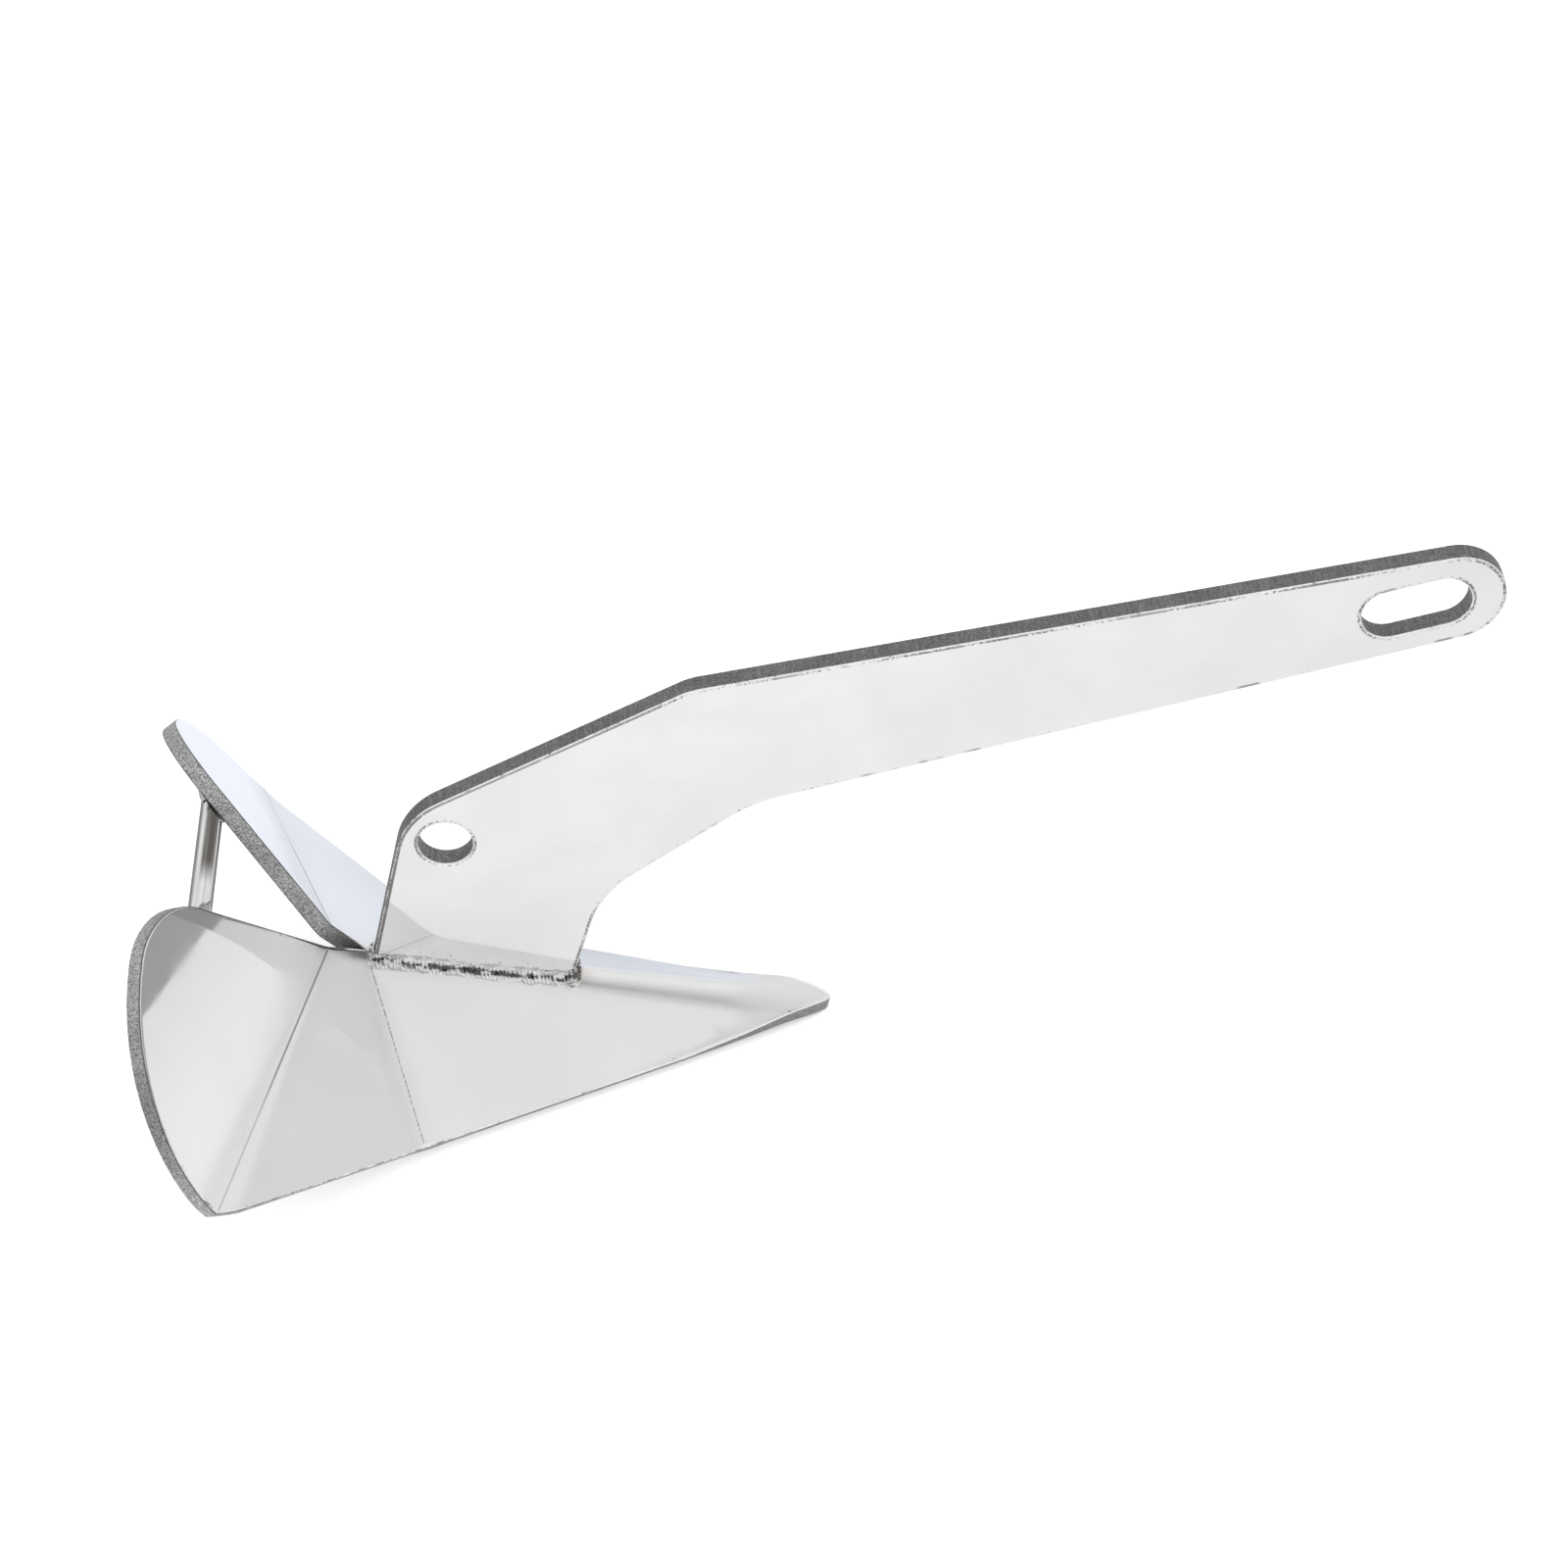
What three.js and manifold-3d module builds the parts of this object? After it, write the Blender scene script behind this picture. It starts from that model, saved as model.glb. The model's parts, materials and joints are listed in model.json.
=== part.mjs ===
// Welded boat anchor of the fixed-shank plough pattern, in stainless steel.
//
// A flat shank plate stands on the ridge of one folded fluke plate. A round bar ties the two rear
// wings together, and a steel wedge under the nose gives the tip its weight.
//
// Units are millimetres. +X points forward, from the wings to the nose and the shackle slot, +Y to
// port and +Z up. The anchor stands on its nose and lower edges on Z = 0. While the pieces are drawn,
// X = 0 is under the trip-line hole; at the end the whole group is centred over its own footprint.

import * as THREE from 'three';
import { mergeVertices } from 'three/addons/utils/BufferGeometryUtils.js';
import Module from 'manifold-3d';

const wasm = await Module();
wasm.setup();

const { degToRad, lerp, smoothstep } = THREE.MathUtils;

// ---------------------------------------------------------------- driving dimensions

// clearance between neighbouring pieces
const GAP = 0.3;

// shank plate: points are [x, z] on its centre plane, angles are degrees above +X
const SHANK_THICKNESS = 10;
const TRIP_HOLE = { centre: [0, 129.5], radius: 12.5 };
const SLOT = { centre: [440, 218.5], radius: 12.5, halfLength: 12 };
const EYE = { centre: [457, 222], radius: 22.4 };
const UNDERSIDE_ANGLE = 11;
const TOP_ANGLE = 6.4;
const TOP_REAR = { point: [40, 171.6], angle: 24 };
const REAR_EDGE = { point: [-21.9, 130.8], angle: 72.9 };
const TOE_EDGE = { point: [51.5, 46.6], angle: 70 };
const GULLET = { point: [88.6, 103.8], angle: 32.6 };
const HEEL_TOP_RADIUS = 40;
const TOP_BEND_RADIUS = 30;
const GULLET_LOWER_RADIUS = 55;
const GULLET_UPPER_RADIUS = 70;

// fluke plate: points are [x, distance from the centre plane, z] on its upper face
const FLUKE_THICKNESS = 8;
const RIDGE_REAR = [-47, 0, 64.3];
const FRONT_BEND_END = [-24.4, 76.7, 5.5];
const FRONT_EDGE_POINT = [121.6, 23.2, 4.6];
const REAR_BEND_END = [-108.5, 143.6, 44.2];
const REAR_BEND_START = [-62.1, 7.5];
const WING_EDGE_POINT = [-103.6, 39, 130.6];

// wing outline, in the wing's own plane: u runs up its rear edge, w runs outward
const WING_CORNER = { u: 85.8, radius: 32.6 };
const WING_RADIUS = 112;
const WING_RADIUS_ANGLE = -3.2;

// the nose: where the front edges leave their straight line, and where they end
const NOSE_START_X = 148;
const NOSE_END = [169.6, 0];
const NOSE_CONTROL = [168.6, 4.6];

// folds: half-width of the ridge's round, and height of the blend at each of the two bends
const RIDGE_ROUND = { atRear: 5.5, perLength: 0.04 };
const FRONT_BEND_BLEND = { atStart: 0.8, perLength: 0.055 };
const REAR_BEND_BLEND = { atStart: 1.2, perLength: 0.062 };
const BEND_CORNER = 9;

// the ridge's fold fades out towards the nose, where the plate is nearly flat
const FOLD_FADE = { from: 112, to: 166, left: 0.22 };

// crossbar between the back faces of the wings: point is [x, z] of its axis
const CROSSBAR = { axis: [-111.6, 124.6], radius: 5.5, halfStock: 64 };
const CROSSBAR_WELD = { along: 16.2, across: 8.2, height: 3.6 };

// weld beads: how far each fillet reaches up its plate, how far outward, and how much it bulges
const SHANK_WELD = { up: 5.6, out: 3.6, bulge: 0.8 };

// nose ballast wedge under the fluke
const BALLAST = { rearX: 48, frontX: 112, rearHalfWidth: 24, frontHalfWidth: 9, sideHeight: 4 };
const BALLAST_WELD_LEG = 4;

// ---------------------------------------------------------------- materials

function steel(colour, roughness) {
  return new THREE.MeshStandardMaterial({ color: colour, roughness, metalness: 1 });
}

const POLISHED = steel(0xd9dadb, 0.12);
const DRAWN_BAR = steel(0xb3aea6, 0.25);
const WELD = steel(0x8d8a86, 0.45);
const ROUGH = steel(0x7c7d7f, 0.6);

// ---------------------------------------------------------------- plane geometry

// The direction of an angle given in degrees.
function heading(degrees) {
  return [Math.cos(degToRad(degrees)), Math.sin(degToRad(degrees))];
}

// Where two lines cross; each has a point and an angle in degrees.
function meet(first, second) {
  const [ax, ay] = heading(first.angle);
  const [bx, by] = heading(second.angle);
  const dx = second.point[0] - first.point[0];
  const dy = second.point[1] - first.point[1];
  const along = (dx * by - dy * bx) / (ax * by - ay * bx);
  return [first.point[0] + along * ax, first.point[1] + along * ay];
}

// Moves a path round one corner on a true arc that touches both sides of it.
function roundCorner(path, before, corner, after, radius) {
  const point = new THREE.Vector2(...corner);
  const back = new THREE.Vector2(...before).sub(point).normalize();
  const ahead = new THREE.Vector2(...after).sub(point).normalize();
  const half = Math.acos(back.dot(ahead)) / 2;
  const start = point.clone().addScaledVector(back, radius / Math.tan(half));
  const end = point.clone().addScaledVector(ahead, radius / Math.tan(half));
  const middle = back.clone().add(ahead).normalize();
  const centre = point.clone().addScaledVector(middle, radius / Math.sin(half));
  const clockwise = back.cross(ahead) > 0;
  path.lineTo(start.x, start.y);
  path.absarc(
    centre.x, centre.y, radius,
    Math.atan2(start.y - centre.y, start.x - centre.x),
    Math.atan2(end.y - centre.y, end.x - centre.x),
    clockwise,
  );
}

// ---------------------------------------------------------------- closed meshes

// Builds an indexed geometry from corner points and triangles, with its faces turned outward.
function closedGeometry(points, triangles) {
  let volume = 0;
  for (const [a, b, c] of triangles) {
    volume += points[a].dot(new THREE.Vector3().crossVectors(points[b], points[c]));
  }
  const geometry = new THREE.BufferGeometry().setFromPoints(points);
  geometry.setIndex(triangles.flatMap(([a, b, c]) => (volume > 0 ? [a, b, c] : [a, c, b])));
  geometry.computeVertexNormals();
  return geometry;
}

// Joins a row of closed outlines, each with the same number of points, into one closed body.
function loft(sections) {
  const count = sections[0].length;
  const triangles = [];
  for (let row = 0; row + 1 < sections.length; row += 1) {
    for (let i = 0; i < count; i += 1) {
      const a = row * count + i;
      const b = row * count + ((i + 1) % count);
      triangles.push([a, b, b + count], [a, b + count, a + count]);
    }
  }
  const last = (sections.length - 1) * count;
  for (let i = 1; i + 1 < count; i += 1) {
    triangles.push([0, i + 1, i], [last, last + i, last + i + 1]);
  }
  return closedGeometry(sections.flat(), triangles);
}

function toSolid(geometry) {
  const bare = geometry.clone();
  bare.deleteAttribute('normal');
  bare.deleteAttribute('uv');
  const merged = mergeVertices(bare);
  return new wasm.Manifold(new wasm.Mesh({
    numProp: 3,
    vertProperties: merged.attributes.position.array,
    triVerts: new Uint32Array(merged.index.array),
  }));
}

function fromSolid(solid) {
  const mesh = solid.getMesh();
  const geometry = new THREE.BufferGeometry();
  geometry.setAttribute('position', new THREE.BufferAttribute(mesh.vertProperties, 3));
  geometry.setIndex(Array.from(mesh.triVerts));
  geometry.computeVertexNormals();
  return geometry;
}

// ---------------------------------------------------------------- the fluke's upper face

// Height z = base + x * perX + side * perSide of the plane through three points.
function planeThrough(a, b, c) {
  const ab = [b[0] - a[0], b[1] - a[1], b[2] - a[2]];
  const ac = [c[0] - a[0], c[1] - a[1], c[2] - a[2]];
  const area = ab[0] * ac[1] - ab[1] * ac[0];
  const perX = (ab[2] * ac[1] - ab[1] * ac[2]) / area;
  const perSide = (ab[0] * ac[2] - ab[2] * ac[0]) / area;
  return { perX, perSide, base: a[2] - perX * a[0] - perSide * a[1] };
}

function planeHeight(plane, x, side) {
  return plane.base + plane.perX * x + plane.perSide * side;
}

const FRONT_FACET = planeThrough(RIDGE_REAR, FRONT_BEND_END, FRONT_EDGE_POINT);
const MIDDLE_FACET = planeThrough(RIDGE_REAR, FRONT_BEND_END, REAR_BEND_END);
const BEND_START = [...REAR_BEND_START, planeHeight(MIDDLE_FACET, ...REAR_BEND_START)];
const WING_FACET = planeThrough(BEND_START, REAR_BEND_END, WING_EDGE_POINT);

// The greater of two heights, with a round of the given blend where they are nearly equal.
function roundedGreater(first, second, blend) {
  const difference = Math.abs(first - second);
  const lift = difference < blend ? (blend - difference) ** 2 / (4 * blend) : 0;
  return Math.max(first, second) + lift;
}

// The distance from the centre plane, rounded off near the ridge.
function roundedSide(x, y) {
  const half = RIDGE_ROUND.atRear + RIDGE_ROUND.perLength * Math.max(x - RIDGE_REAR[0], 0);
  const side = Math.abs(y);
  return side < half ? (side * side) / (2 * half) + half / 2 : side;
}

// Height of the fluke's upper face at a place in plan.
function flukeHeight(x, y) {
  const side = roundedSide(x, y);
  const fold = lerp(1, FOLD_FADE.left, smoothstep(x, FOLD_FADE.from, FOLD_FADE.to));
  const front = planeHeight(FRONT_FACET, x, side * fold);
  const middle = planeHeight(MIDDLE_FACET, x, side);
  const wing = planeHeight(WING_FACET, x, side);
  const fromRidge = Math.hypot(x - RIDGE_REAR[0], y);
  const fromBend = Math.hypot(x - BEND_START[0], Math.abs(y) - BEND_START[1]);
  const frontBlend = FRONT_BEND_BLEND.atStart + FRONT_BEND_BLEND.perLength * fromRidge;
  const rearBlend = REAR_BEND_BLEND.atStart + REAR_BEND_BLEND.perLength * fromBend;
  return roundedGreater(roundedGreater(front, middle, frontBlend), wing, rearBlend);
}

// The upward normal of the fluke's upper face.
function flukeNormal(x, y) {
  const step = 0.01;
  const alongX = (flukeHeight(x + step, y) - flukeHeight(x - step, y)) / (2 * step);
  const alongY = (flukeHeight(x, y + step) - flukeHeight(x, y - step)) / (2 * step);
  return new THREE.Vector3(-alongX, -alongY, 1).normalize();
}

// Height of the fluke's lower face, straight below or above a place in plan.
function flukeUnderside(x, y) {
  return flukeHeight(x, y) - FLUKE_THICKNESS / flukeNormal(x, y).z;
}

// ---------------------------------------------------------------- the wing's plane

const WING_ORIGIN = new THREE.Vector3(...BEND_START);
const WING_UP = new THREE.Vector3(...WING_EDGE_POINT).sub(WING_ORIGIN).normalize();
const WING_NORMAL = new THREE.Vector3(-WING_FACET.perX, -WING_FACET.perSide, 1).normalize();
const WING_OUT = new THREE.Vector3().crossVectors(WING_UP, WING_NORMAL);

// A point of the port wing's upper face from its place in the wing's own plane.
function onWing(u, w) {
  return WING_ORIGIN.clone().addScaledVector(WING_UP, u).addScaledVector(WING_OUT, w);
}

// The wing's curved outline from the rear bend, over the corner, to the straight rear edge.
function wingOutline() {
  const corner = new THREE.Vector2(WING_CORNER.u, WING_CORNER.radius);
  const [cosine, sine] = heading(WING_RADIUS_ANGLE);
  const reach = WING_RADIUS - WING_CORNER.radius;
  const centre = new THREE.Vector2(corner.x - reach * cosine, corner.y - reach * sine);
  const bendEnd = new THREE.Vector3(...REAR_BEND_END).sub(WING_ORIGIN);
  const bend = new THREE.Vector2(bendEnd.dot(WING_UP), bendEnd.dot(WING_OUT)).normalize();
  const along = bend.dot(centre);
  const crossing = along + Math.sqrt(along ** 2 - centre.lengthSq() + WING_RADIUS ** 2);
  const start = bend.clone().multiplyScalar(crossing).sub(centre);
  const from = Math.atan2(start.y, start.x);
  const middle = degToRad(WING_RADIUS_ANGLE);
  const points = [];
  for (const part of [0, 0.02, 0.04, 0.065, 0.095, 0.13]) {
    points.push([centre, WING_RADIUS, lerp(from, middle, part)]);
  }
  for (let i = 1; i <= 12; i += 1) {
    points.push([centre, WING_RADIUS, lerp(from, middle, lerp(0.13, 1, i / 12))]);
  }
  for (let i = 1; i <= 10; i += 1) {
    points.push([corner, WING_CORNER.radius, lerp(middle, -Math.PI / 2, i / 10)]);
  }
  return points.map(([middlePoint, radius, angle]) => onWing(
    middlePoint.x + radius * Math.cos(angle),
    middlePoint.y + radius * Math.sin(angle),
  ));
}

// ---------------------------------------------------------------- fluke

// Points along a straight plan line, at the given parts of its length.
function stations(from, to, parts) {
  return parts.map((part) => [lerp(from[0], to[0], part), lerp(from[1], to[1], part)]);
}

// Points round a plan corner, on a curve that touches both of its sides.
function curveRound(from, control, to, steps) {
  const curve = new THREE.QuadraticBezierCurve(
    new THREE.Vector2(...from),
    new THREE.Vector2(...control),
    new THREE.Vector2(...to),
  );
  return curve.getPoints(steps).map((point) => [point.x, point.y]);
}

// The port half of the fluke in plan, as spokes from the ridge and the rear edge to the outline.
function flukeSpokes() {
  const wing = wingOutline();
  const wingStart = [wing[0].x, wing[0].y];
  const bendEnd = FRONT_BEND_END.slice(0, 2);
  const edgeEnd = FRONT_EDGE_POINT.slice(0, 2);
  const slope = (edgeEnd[1] - bendEnd[1]) / (edgeEnd[0] - bendEnd[0]);
  const noseStart = [NOSE_START_X, bendEnd[1] + slope * (NOSE_START_X - bendEnd[0])];
  const frontLength = Math.hypot(noseStart[0] - bendEnd[0], noseStart[1] - bendEnd[1]);
  const lowerLength = Math.hypot(wingStart[0] - bendEnd[0], wingStart[1] - bendEnd[1]);
  const [cornerFront] = stations(bendEnd, noseStart, [BEND_CORNER / frontLength]);
  const [cornerRear] = stations(bendEnd, wingStart, [BEND_CORNER / lowerLength]);
  const ridge = RIDGE_REAR.slice(0, 2);
  const outline = [
    ...curveRound(NOSE_END, NOSE_CONTROL, noseStart, 9),
    ...stations(noseStart, cornerFront, [0.12, 0.3, 0.6, 0.9]),
    ...curveRound(cornerFront, bendEnd, cornerRear, 8),
    ...stations(cornerRear, wingStart, [0.15, 0.5, 0.8, 0.86, 0.91, 0.96, 1]),
  ];
  const spokes = outline.map((outer) => [ridge, outer]);
  for (const inner of stations(ridge, REAR_BEND_START, [1 / 3, 2 / 3, 1])) {
    spokes.push([inner, wingStart]);
  }
  const edgeTop = wing[wing.length - 1];
  wing.forEach((point, i) => {
    const part = i / (wing.length - 1);
    const [inner] = stations(REAR_BEND_START, [edgeTop.x, edgeTop.y], [part]);
    spokes.push([inner, [point.x, point.y]]);
  });
  return spokes;
}

// The upper face as shared points and triangles, port half first and then its mirror image.
function flukeUpperFace() {
  const parts = [0, 0.015, 0.05, 0.15, 0.3, 0.47, 0.62, 0.74, 0.81, 0.87, 0.92, 0.96, 1];
  const found = new Map();
  const places = [];
  const triangles = [];
  const indexOf = (x, y) => {
    const key = `${x.toFixed(3)},${(y + 0).toFixed(3)}`.replace('-0.000', '0.000');
    if (!found.has(key)) {
      found.set(key, places.length);
      places.push([x, y]);
    }
    return found.get(key);
  };
  const spokes = flukeSpokes();
  for (const side of [1, -1]) {
    const grid = spokes.map(([inner, outer]) => (
      stations(inner, outer, parts).map(([x, y]) => indexOf(x, side * y))
    ));
    for (let i = 0; i + 1 < grid.length; i += 1) {
      for (let j = 0; j + 1 < parts.length; j += 1) {
        const [a, b, c, d] = [grid[i][j], grid[i][j + 1], grid[i + 1][j + 1], grid[i + 1][j]];
        for (const corners of [[a, b, c], [a, c, d]]) {
          if (new Set(corners).size === 3) {
            triangles.push(side > 0 ? corners : corners.toReversed());
          }
        }
      }
    }
  }
  return { places, triangles };
}

// The folded plate: its upper face, the same face one thickness below, and the cut edge between.
function flukeGeometry() {
  const { places, triangles } = flukeUpperFace();
  const count = places.length;
  const upper = places.map(([x, y]) => new THREE.Vector3(x, y, flukeHeight(x, y)));
  const lower = places.map(([x, y], i) => (
    upper[i].clone().addScaledVector(flukeNormal(x, y), -FLUKE_THICKNESS)
  ));
  const edges = new Set(triangles.flatMap(([a, b, c]) => [`${a},${b}`, `${b},${c}`, `${c},${a}`]));
  const faces = [...triangles];
  faces.push(...triangles.map(([a, b, c]) => [a + count, c + count, b + count]));
  for (const edge of edges) {
    const [a, b] = edge.split(',').map(Number);
    if (!edges.has(`${b},${a}`)) {
      faces.push([b, a, a + count], [b, a + count, b + count]);
    }
  }
  return closedGeometry([...upper, ...lower], faces);
}

// ---------------------------------------------------------------- shank

// The line of the shank's foot, just clear of the ridge.
function footLine() {
  const [heelX, toeX] = [REAR_EDGE.point[0], TOE_EDGE.point[0]];
  const rise = flukeHeight(toeX, 0) - flukeHeight(heelX, 0);
  const point = [heelX, flukeHeight(heelX, 0) + GAP];
  return { point, angle: THREE.MathUtils.radToDeg(Math.atan2(rise, toeX - heelX)) };
}

const HEEL = meet(REAR_EDGE, footLine());
const TOE = meet(TOE_EDGE, footLine());

function shankShape() {
  const [underCos, underSin] = heading(UNDERSIDE_ANGLE);
  const [topCos, topSin] = heading(TOP_ANGLE);
  const [eyeX, eyeZ] = EYE.centre;
  const under = {
    point: [eyeX + EYE.radius * underSin, eyeZ - EYE.radius * underCos],
    angle: UNDERSIDE_ANGLE,
  };
  const top = {
    point: [eyeX - EYE.radius * topSin, eyeZ + EYE.radius * topCos],
    angle: TOP_ANGLE,
  };
  const gulletLower = meet(TOE_EDGE, GULLET);
  const gulletUpper = meet(GULLET, under);
  const topBend = meet(top, TOP_REAR);
  const heelTop = meet(TOP_REAR, REAR_EDGE);
  const shape = new THREE.Shape();
  shape.moveTo(...HEEL);
  shape.lineTo(...TOE);
  roundCorner(shape, TOE, gulletLower, gulletUpper, GULLET_LOWER_RADIUS);
  roundCorner(shape, gulletLower, gulletUpper, under.point, GULLET_UPPER_RADIUS);
  shape.lineTo(...under.point);
  const quarter = Math.PI / 2;
  shape.absarc(
    eyeX, eyeZ, EYE.radius,
    degToRad(UNDERSIDE_ANGLE) - quarter, degToRad(TOP_ANGLE) + quarter, false,
  );
  roundCorner(shape, top.point, topBend, heelTop, TOP_BEND_RADIUS);
  roundCorner(shape, topBend, heelTop, HEEL, HEEL_TOP_RADIUS);
  shape.lineTo(...HEEL);
  return shape;
}

function slotPath() {
  const [cosine, sine] = heading(UNDERSIDE_ANGLE);
  const turn = degToRad(UNDERSIDE_ANGLE);
  const quarter = Math.PI / 2;
  const [x, z] = SLOT.centre;
  const path = new THREE.Path();
  for (const end of [1, -1]) {
    const middle = end > 0 ? turn : turn + Math.PI;
    path.absarc(
      x + end * SLOT.halfLength * cosine, z + end * SLOT.halfLength * sine, SLOT.radius,
      middle - quarter, middle + quarter, false,
    );
  }
  path.closePath();
  return path;
}

function shankGeometry() {
  const shape = shankShape();
  const hole = new THREE.Path();
  hole.absarc(...TRIP_HOLE.centre, TRIP_HOLE.radius, 0, 2 * Math.PI, false);
  shape.holes.push(hole, slotPath());
  const geometry = new THREE.ExtrudeGeometry(shape, {
    depth: SHANK_THICKNESS,
    bevelEnabled: false,
    curveSegments: 20,
  });
  geometry.rotateX(Math.PI / 2);
  geometry.translate(0, SHANK_THICKNESS / 2, 0);
  return geometry;
}

// ---------------------------------------------------------------- welds at the shank's foot

// One slice of a fillet bead: `at` is the foot of the shank's face in plan, `out` points away from
// it, and `lean` is how far that face moves forward for each millimetre it rises above `footZ`.
function filletSlice(at, out, lean, footZ) {
  const place = (distance) => [at[0] + out[0] * distance, at[1] + out[1] * distance];
  const onFluke = [GAP, SHANK_WELD.out / 2, SHANK_WELD.out].map((distance) => {
    const [x, y] = place(distance);
    return new THREE.Vector3(x, y, flukeHeight(x, y) + GAP);
  });
  const [inner, , outer] = onFluke;
  const onShank = inner.clone();
  onShank.z += SHANK_WELD.up;
  for (const point of [inner, onShank]) {
    point.x += lean * Math.abs(out[0]) * (point.z - footZ);
  }
  const crown = [0.3, 0.7].map((part) => {
    const point = outer.clone().lerp(onShank, part);
    return point.add(new THREE.Vector3(...out, 1).multiplyScalar(SHANK_WELD.bulge));
  });
  return [...onFluke, ...crown, onShank];
}

// The straight bead along one side of the foot.
function sideWeldGeometry(side) {
  const rear = HEEL[0] + 1;
  const front = TOE[0] - 1;
  const slices = [];
  for (let i = 0; i <= 16; i += 1) {
    const at = [lerp(rear, front, i / 16), (side * SHANK_THICKNESS) / 2];
    slices.push(filletSlice(at, [0, side], 0, 0));
  }
  return loft(slices);
}

// The bead that wraps round the toe (direction 1) or the heel (direction -1) of the foot.
function endWeldGeometry([endX, endZ], direction, edgeAngle) {
  const half = SHANK_THICKNESS / 2;
  const lean = 1 / Math.tan(degToRad(edgeAngle));
  const stops = [];
  const turns = [0, 0.2, 0.4, 0.6, 0.8, 1].map((part) => (part * Math.PI) / 2);
  for (const angle of turns) {
    stops.push([-half, [direction * Math.sin(angle), -Math.cos(angle)]]);
  }
  for (const part of [-0.6, -0.3, 0, 0.3, 0.6]) {
    stops.push([part * half, [direction, 0]]);
  }
  for (const angle of turns) {
    stops.push([half, [direction * Math.cos(angle), Math.sin(angle)]]);
  }
  const x = endX - direction * (1 - GAP);
  const slices = stops.map(([y, out]) => {
    const forward = direction * out[0] * (1 - GAP);
    return filletSlice([x + direction * forward, y], out, lean, endZ);
  });
  return loft(slices);
}

// ---------------------------------------------------------------- crossbar and its welds

// A block that fills the side of the wing's back plane where the wing is, `clear` behind that face.
function wingBlock(side, clear) {
  const size = 400;
  const block = new THREE.BoxGeometry(size, size, size);
  const middle = onWing(0, 0).addScaledVector(WING_NORMAL, size / 2 - FLUKE_THICKNESS - clear);
  block.applyMatrix4(new THREE.Matrix4().makeBasis(WING_UP, WING_NORMAL, WING_OUT));
  block.translate(middle.x, middle.y, middle.z);
  const solid = toSolid(block);
  return side > 0 ? solid : solid.mirror([0, 1, 0]);
}

function barSolid(radius) {
  const bar = new THREE.CylinderGeometry(radius, radius, 2 * CROSSBAR.halfStock, 32);
  bar.translate(CROSSBAR.axis[0], 0, CROSSBAR.axis[1]);
  return toSolid(bar);
}

function crossbarGeometry() {
  const bar = barSolid(CROSSBAR.radius).subtract(wingBlock(1, GAP)).subtract(wingBlock(-1, GAP));
  return fromSolid(bar);
}

// Where the bar's axis meets the back plane of the port wing.
function barContact() {
  const back = onWing(0, 0).addScaledVector(WING_NORMAL, -FLUKE_THICKNESS);
  const [x, z] = CROSSBAR.axis;
  const y = (back.dot(WING_NORMAL) - WING_NORMAL.x * x - WING_NORMAL.z * z) / WING_NORMAL.y;
  return new THREE.Vector3(x, y, z);
}

// A low mound on the wing's back face round the bar, cut clear of the bar, the face and the edge.
function crossbarWeldGeometry(side) {
  const contact = barContact();
  const along = new THREE.Vector3(0, 1, 0).projectOnPlane(WING_NORMAL).normalize();
  const across = new THREE.Vector3().crossVectors(WING_NORMAL, along);
  const mound = new THREE.SphereGeometry(1, 28, 16);
  mound.scale(CROSSBAR_WELD.along, CROSSBAR_WELD.height, CROSSBAR_WELD.across);
  mound.applyMatrix4(new THREE.Matrix4().makeBasis(along, WING_NORMAL, across.clone().negate()));
  mound.translate(contact.x, contact.y, contact.z);
  const size = 200;
  const beyondEdge = new THREE.BoxGeometry(size, size, size);
  beyondEdge.applyMatrix4(new THREE.Matrix4().makeBasis(WING_UP, WING_NORMAL, WING_OUT));
  const middle = onWing(WING_CORNER.u, 2 - size / 2);
  beyondEdge.translate(middle.x, middle.y, middle.z);
  const weld = toSolid(mound)
    .subtract(toSolid(beyondEdge))
    .subtract(wingBlock(1, GAP))
    .subtract(barSolid(CROSSBAR.radius + GAP));
  return fromSolid(side > 0 ? weld : weld.mirror([0, 1, 0]));
}

// ---------------------------------------------------------------- nose ballast and its welds

const BALLAST_STEPS = 10;

function ballastHalfWidth(x) {
  const part = (x - BALLAST.rearX) / (BALLAST.frontX - BALLAST.rearX);
  return lerp(BALLAST.rearHalfWidth, BALLAST.frontHalfWidth, part);
}

function ballastStations() {
  const list = [];
  for (let i = 0; i <= BALLAST_STEPS; i += 1) {
    list.push(lerp(BALLAST.rearX, BALLAST.frontX, i / BALLAST_STEPS));
  }
  return list;
}

// Solid wedge that fills the fold under the nose; its top follows the fluke's lower face.
function ballastGeometry() {
  const acrossSteps = 12;
  const slices = ballastStations().map((x) => {
    const half = ballastHalfWidth(x);
    const bottom = flukeUnderside(x, half) - 3 * GAP - BALLAST.sideHeight;
    const points = [new THREE.Vector3(x, -half, bottom)];
    for (let i = 0; i <= acrossSteps; i += 1) {
      const y = lerp(-half, half, i / acrossSteps);
      points.push(new THREE.Vector3(x, y, flukeUnderside(x, y) - 3 * GAP));
    }
    points.push(new THREE.Vector3(x, half, bottom));
    return points;
  });
  return loft(slices);
}

// The bead in the corner between one side of the wedge and the fluke's lower face.
function ballastWeldGeometry(side) {
  const slices = ballastStations().slice(1, -1).map((x) => {
    const inner = ballastHalfWidth(x) + GAP;
    const outer = inner + BALLAST_WELD_LEG;
    const top = (distance) => flukeUnderside(x, distance) - 2 * GAP;
    const bottom = top(inner) - BALLAST.sideHeight;
    return [
      [inner, top(inner)],
      [outer, top(outer)],
      [lerp(inner, outer, 0.55), Math.min(bottom, top(outer)) - 0.4],
      [inner, bottom],
    ].map(([distance, z]) => new THREE.Vector3(x, side * distance, z));
  });
  return loft(slices);
}

// ---------------------------------------------------------------- the assembly

function piece(name, geometry, material) {
  const mesh = new THREE.Mesh(geometry, material);
  mesh.name = name;
  return mesh;
}

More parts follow.
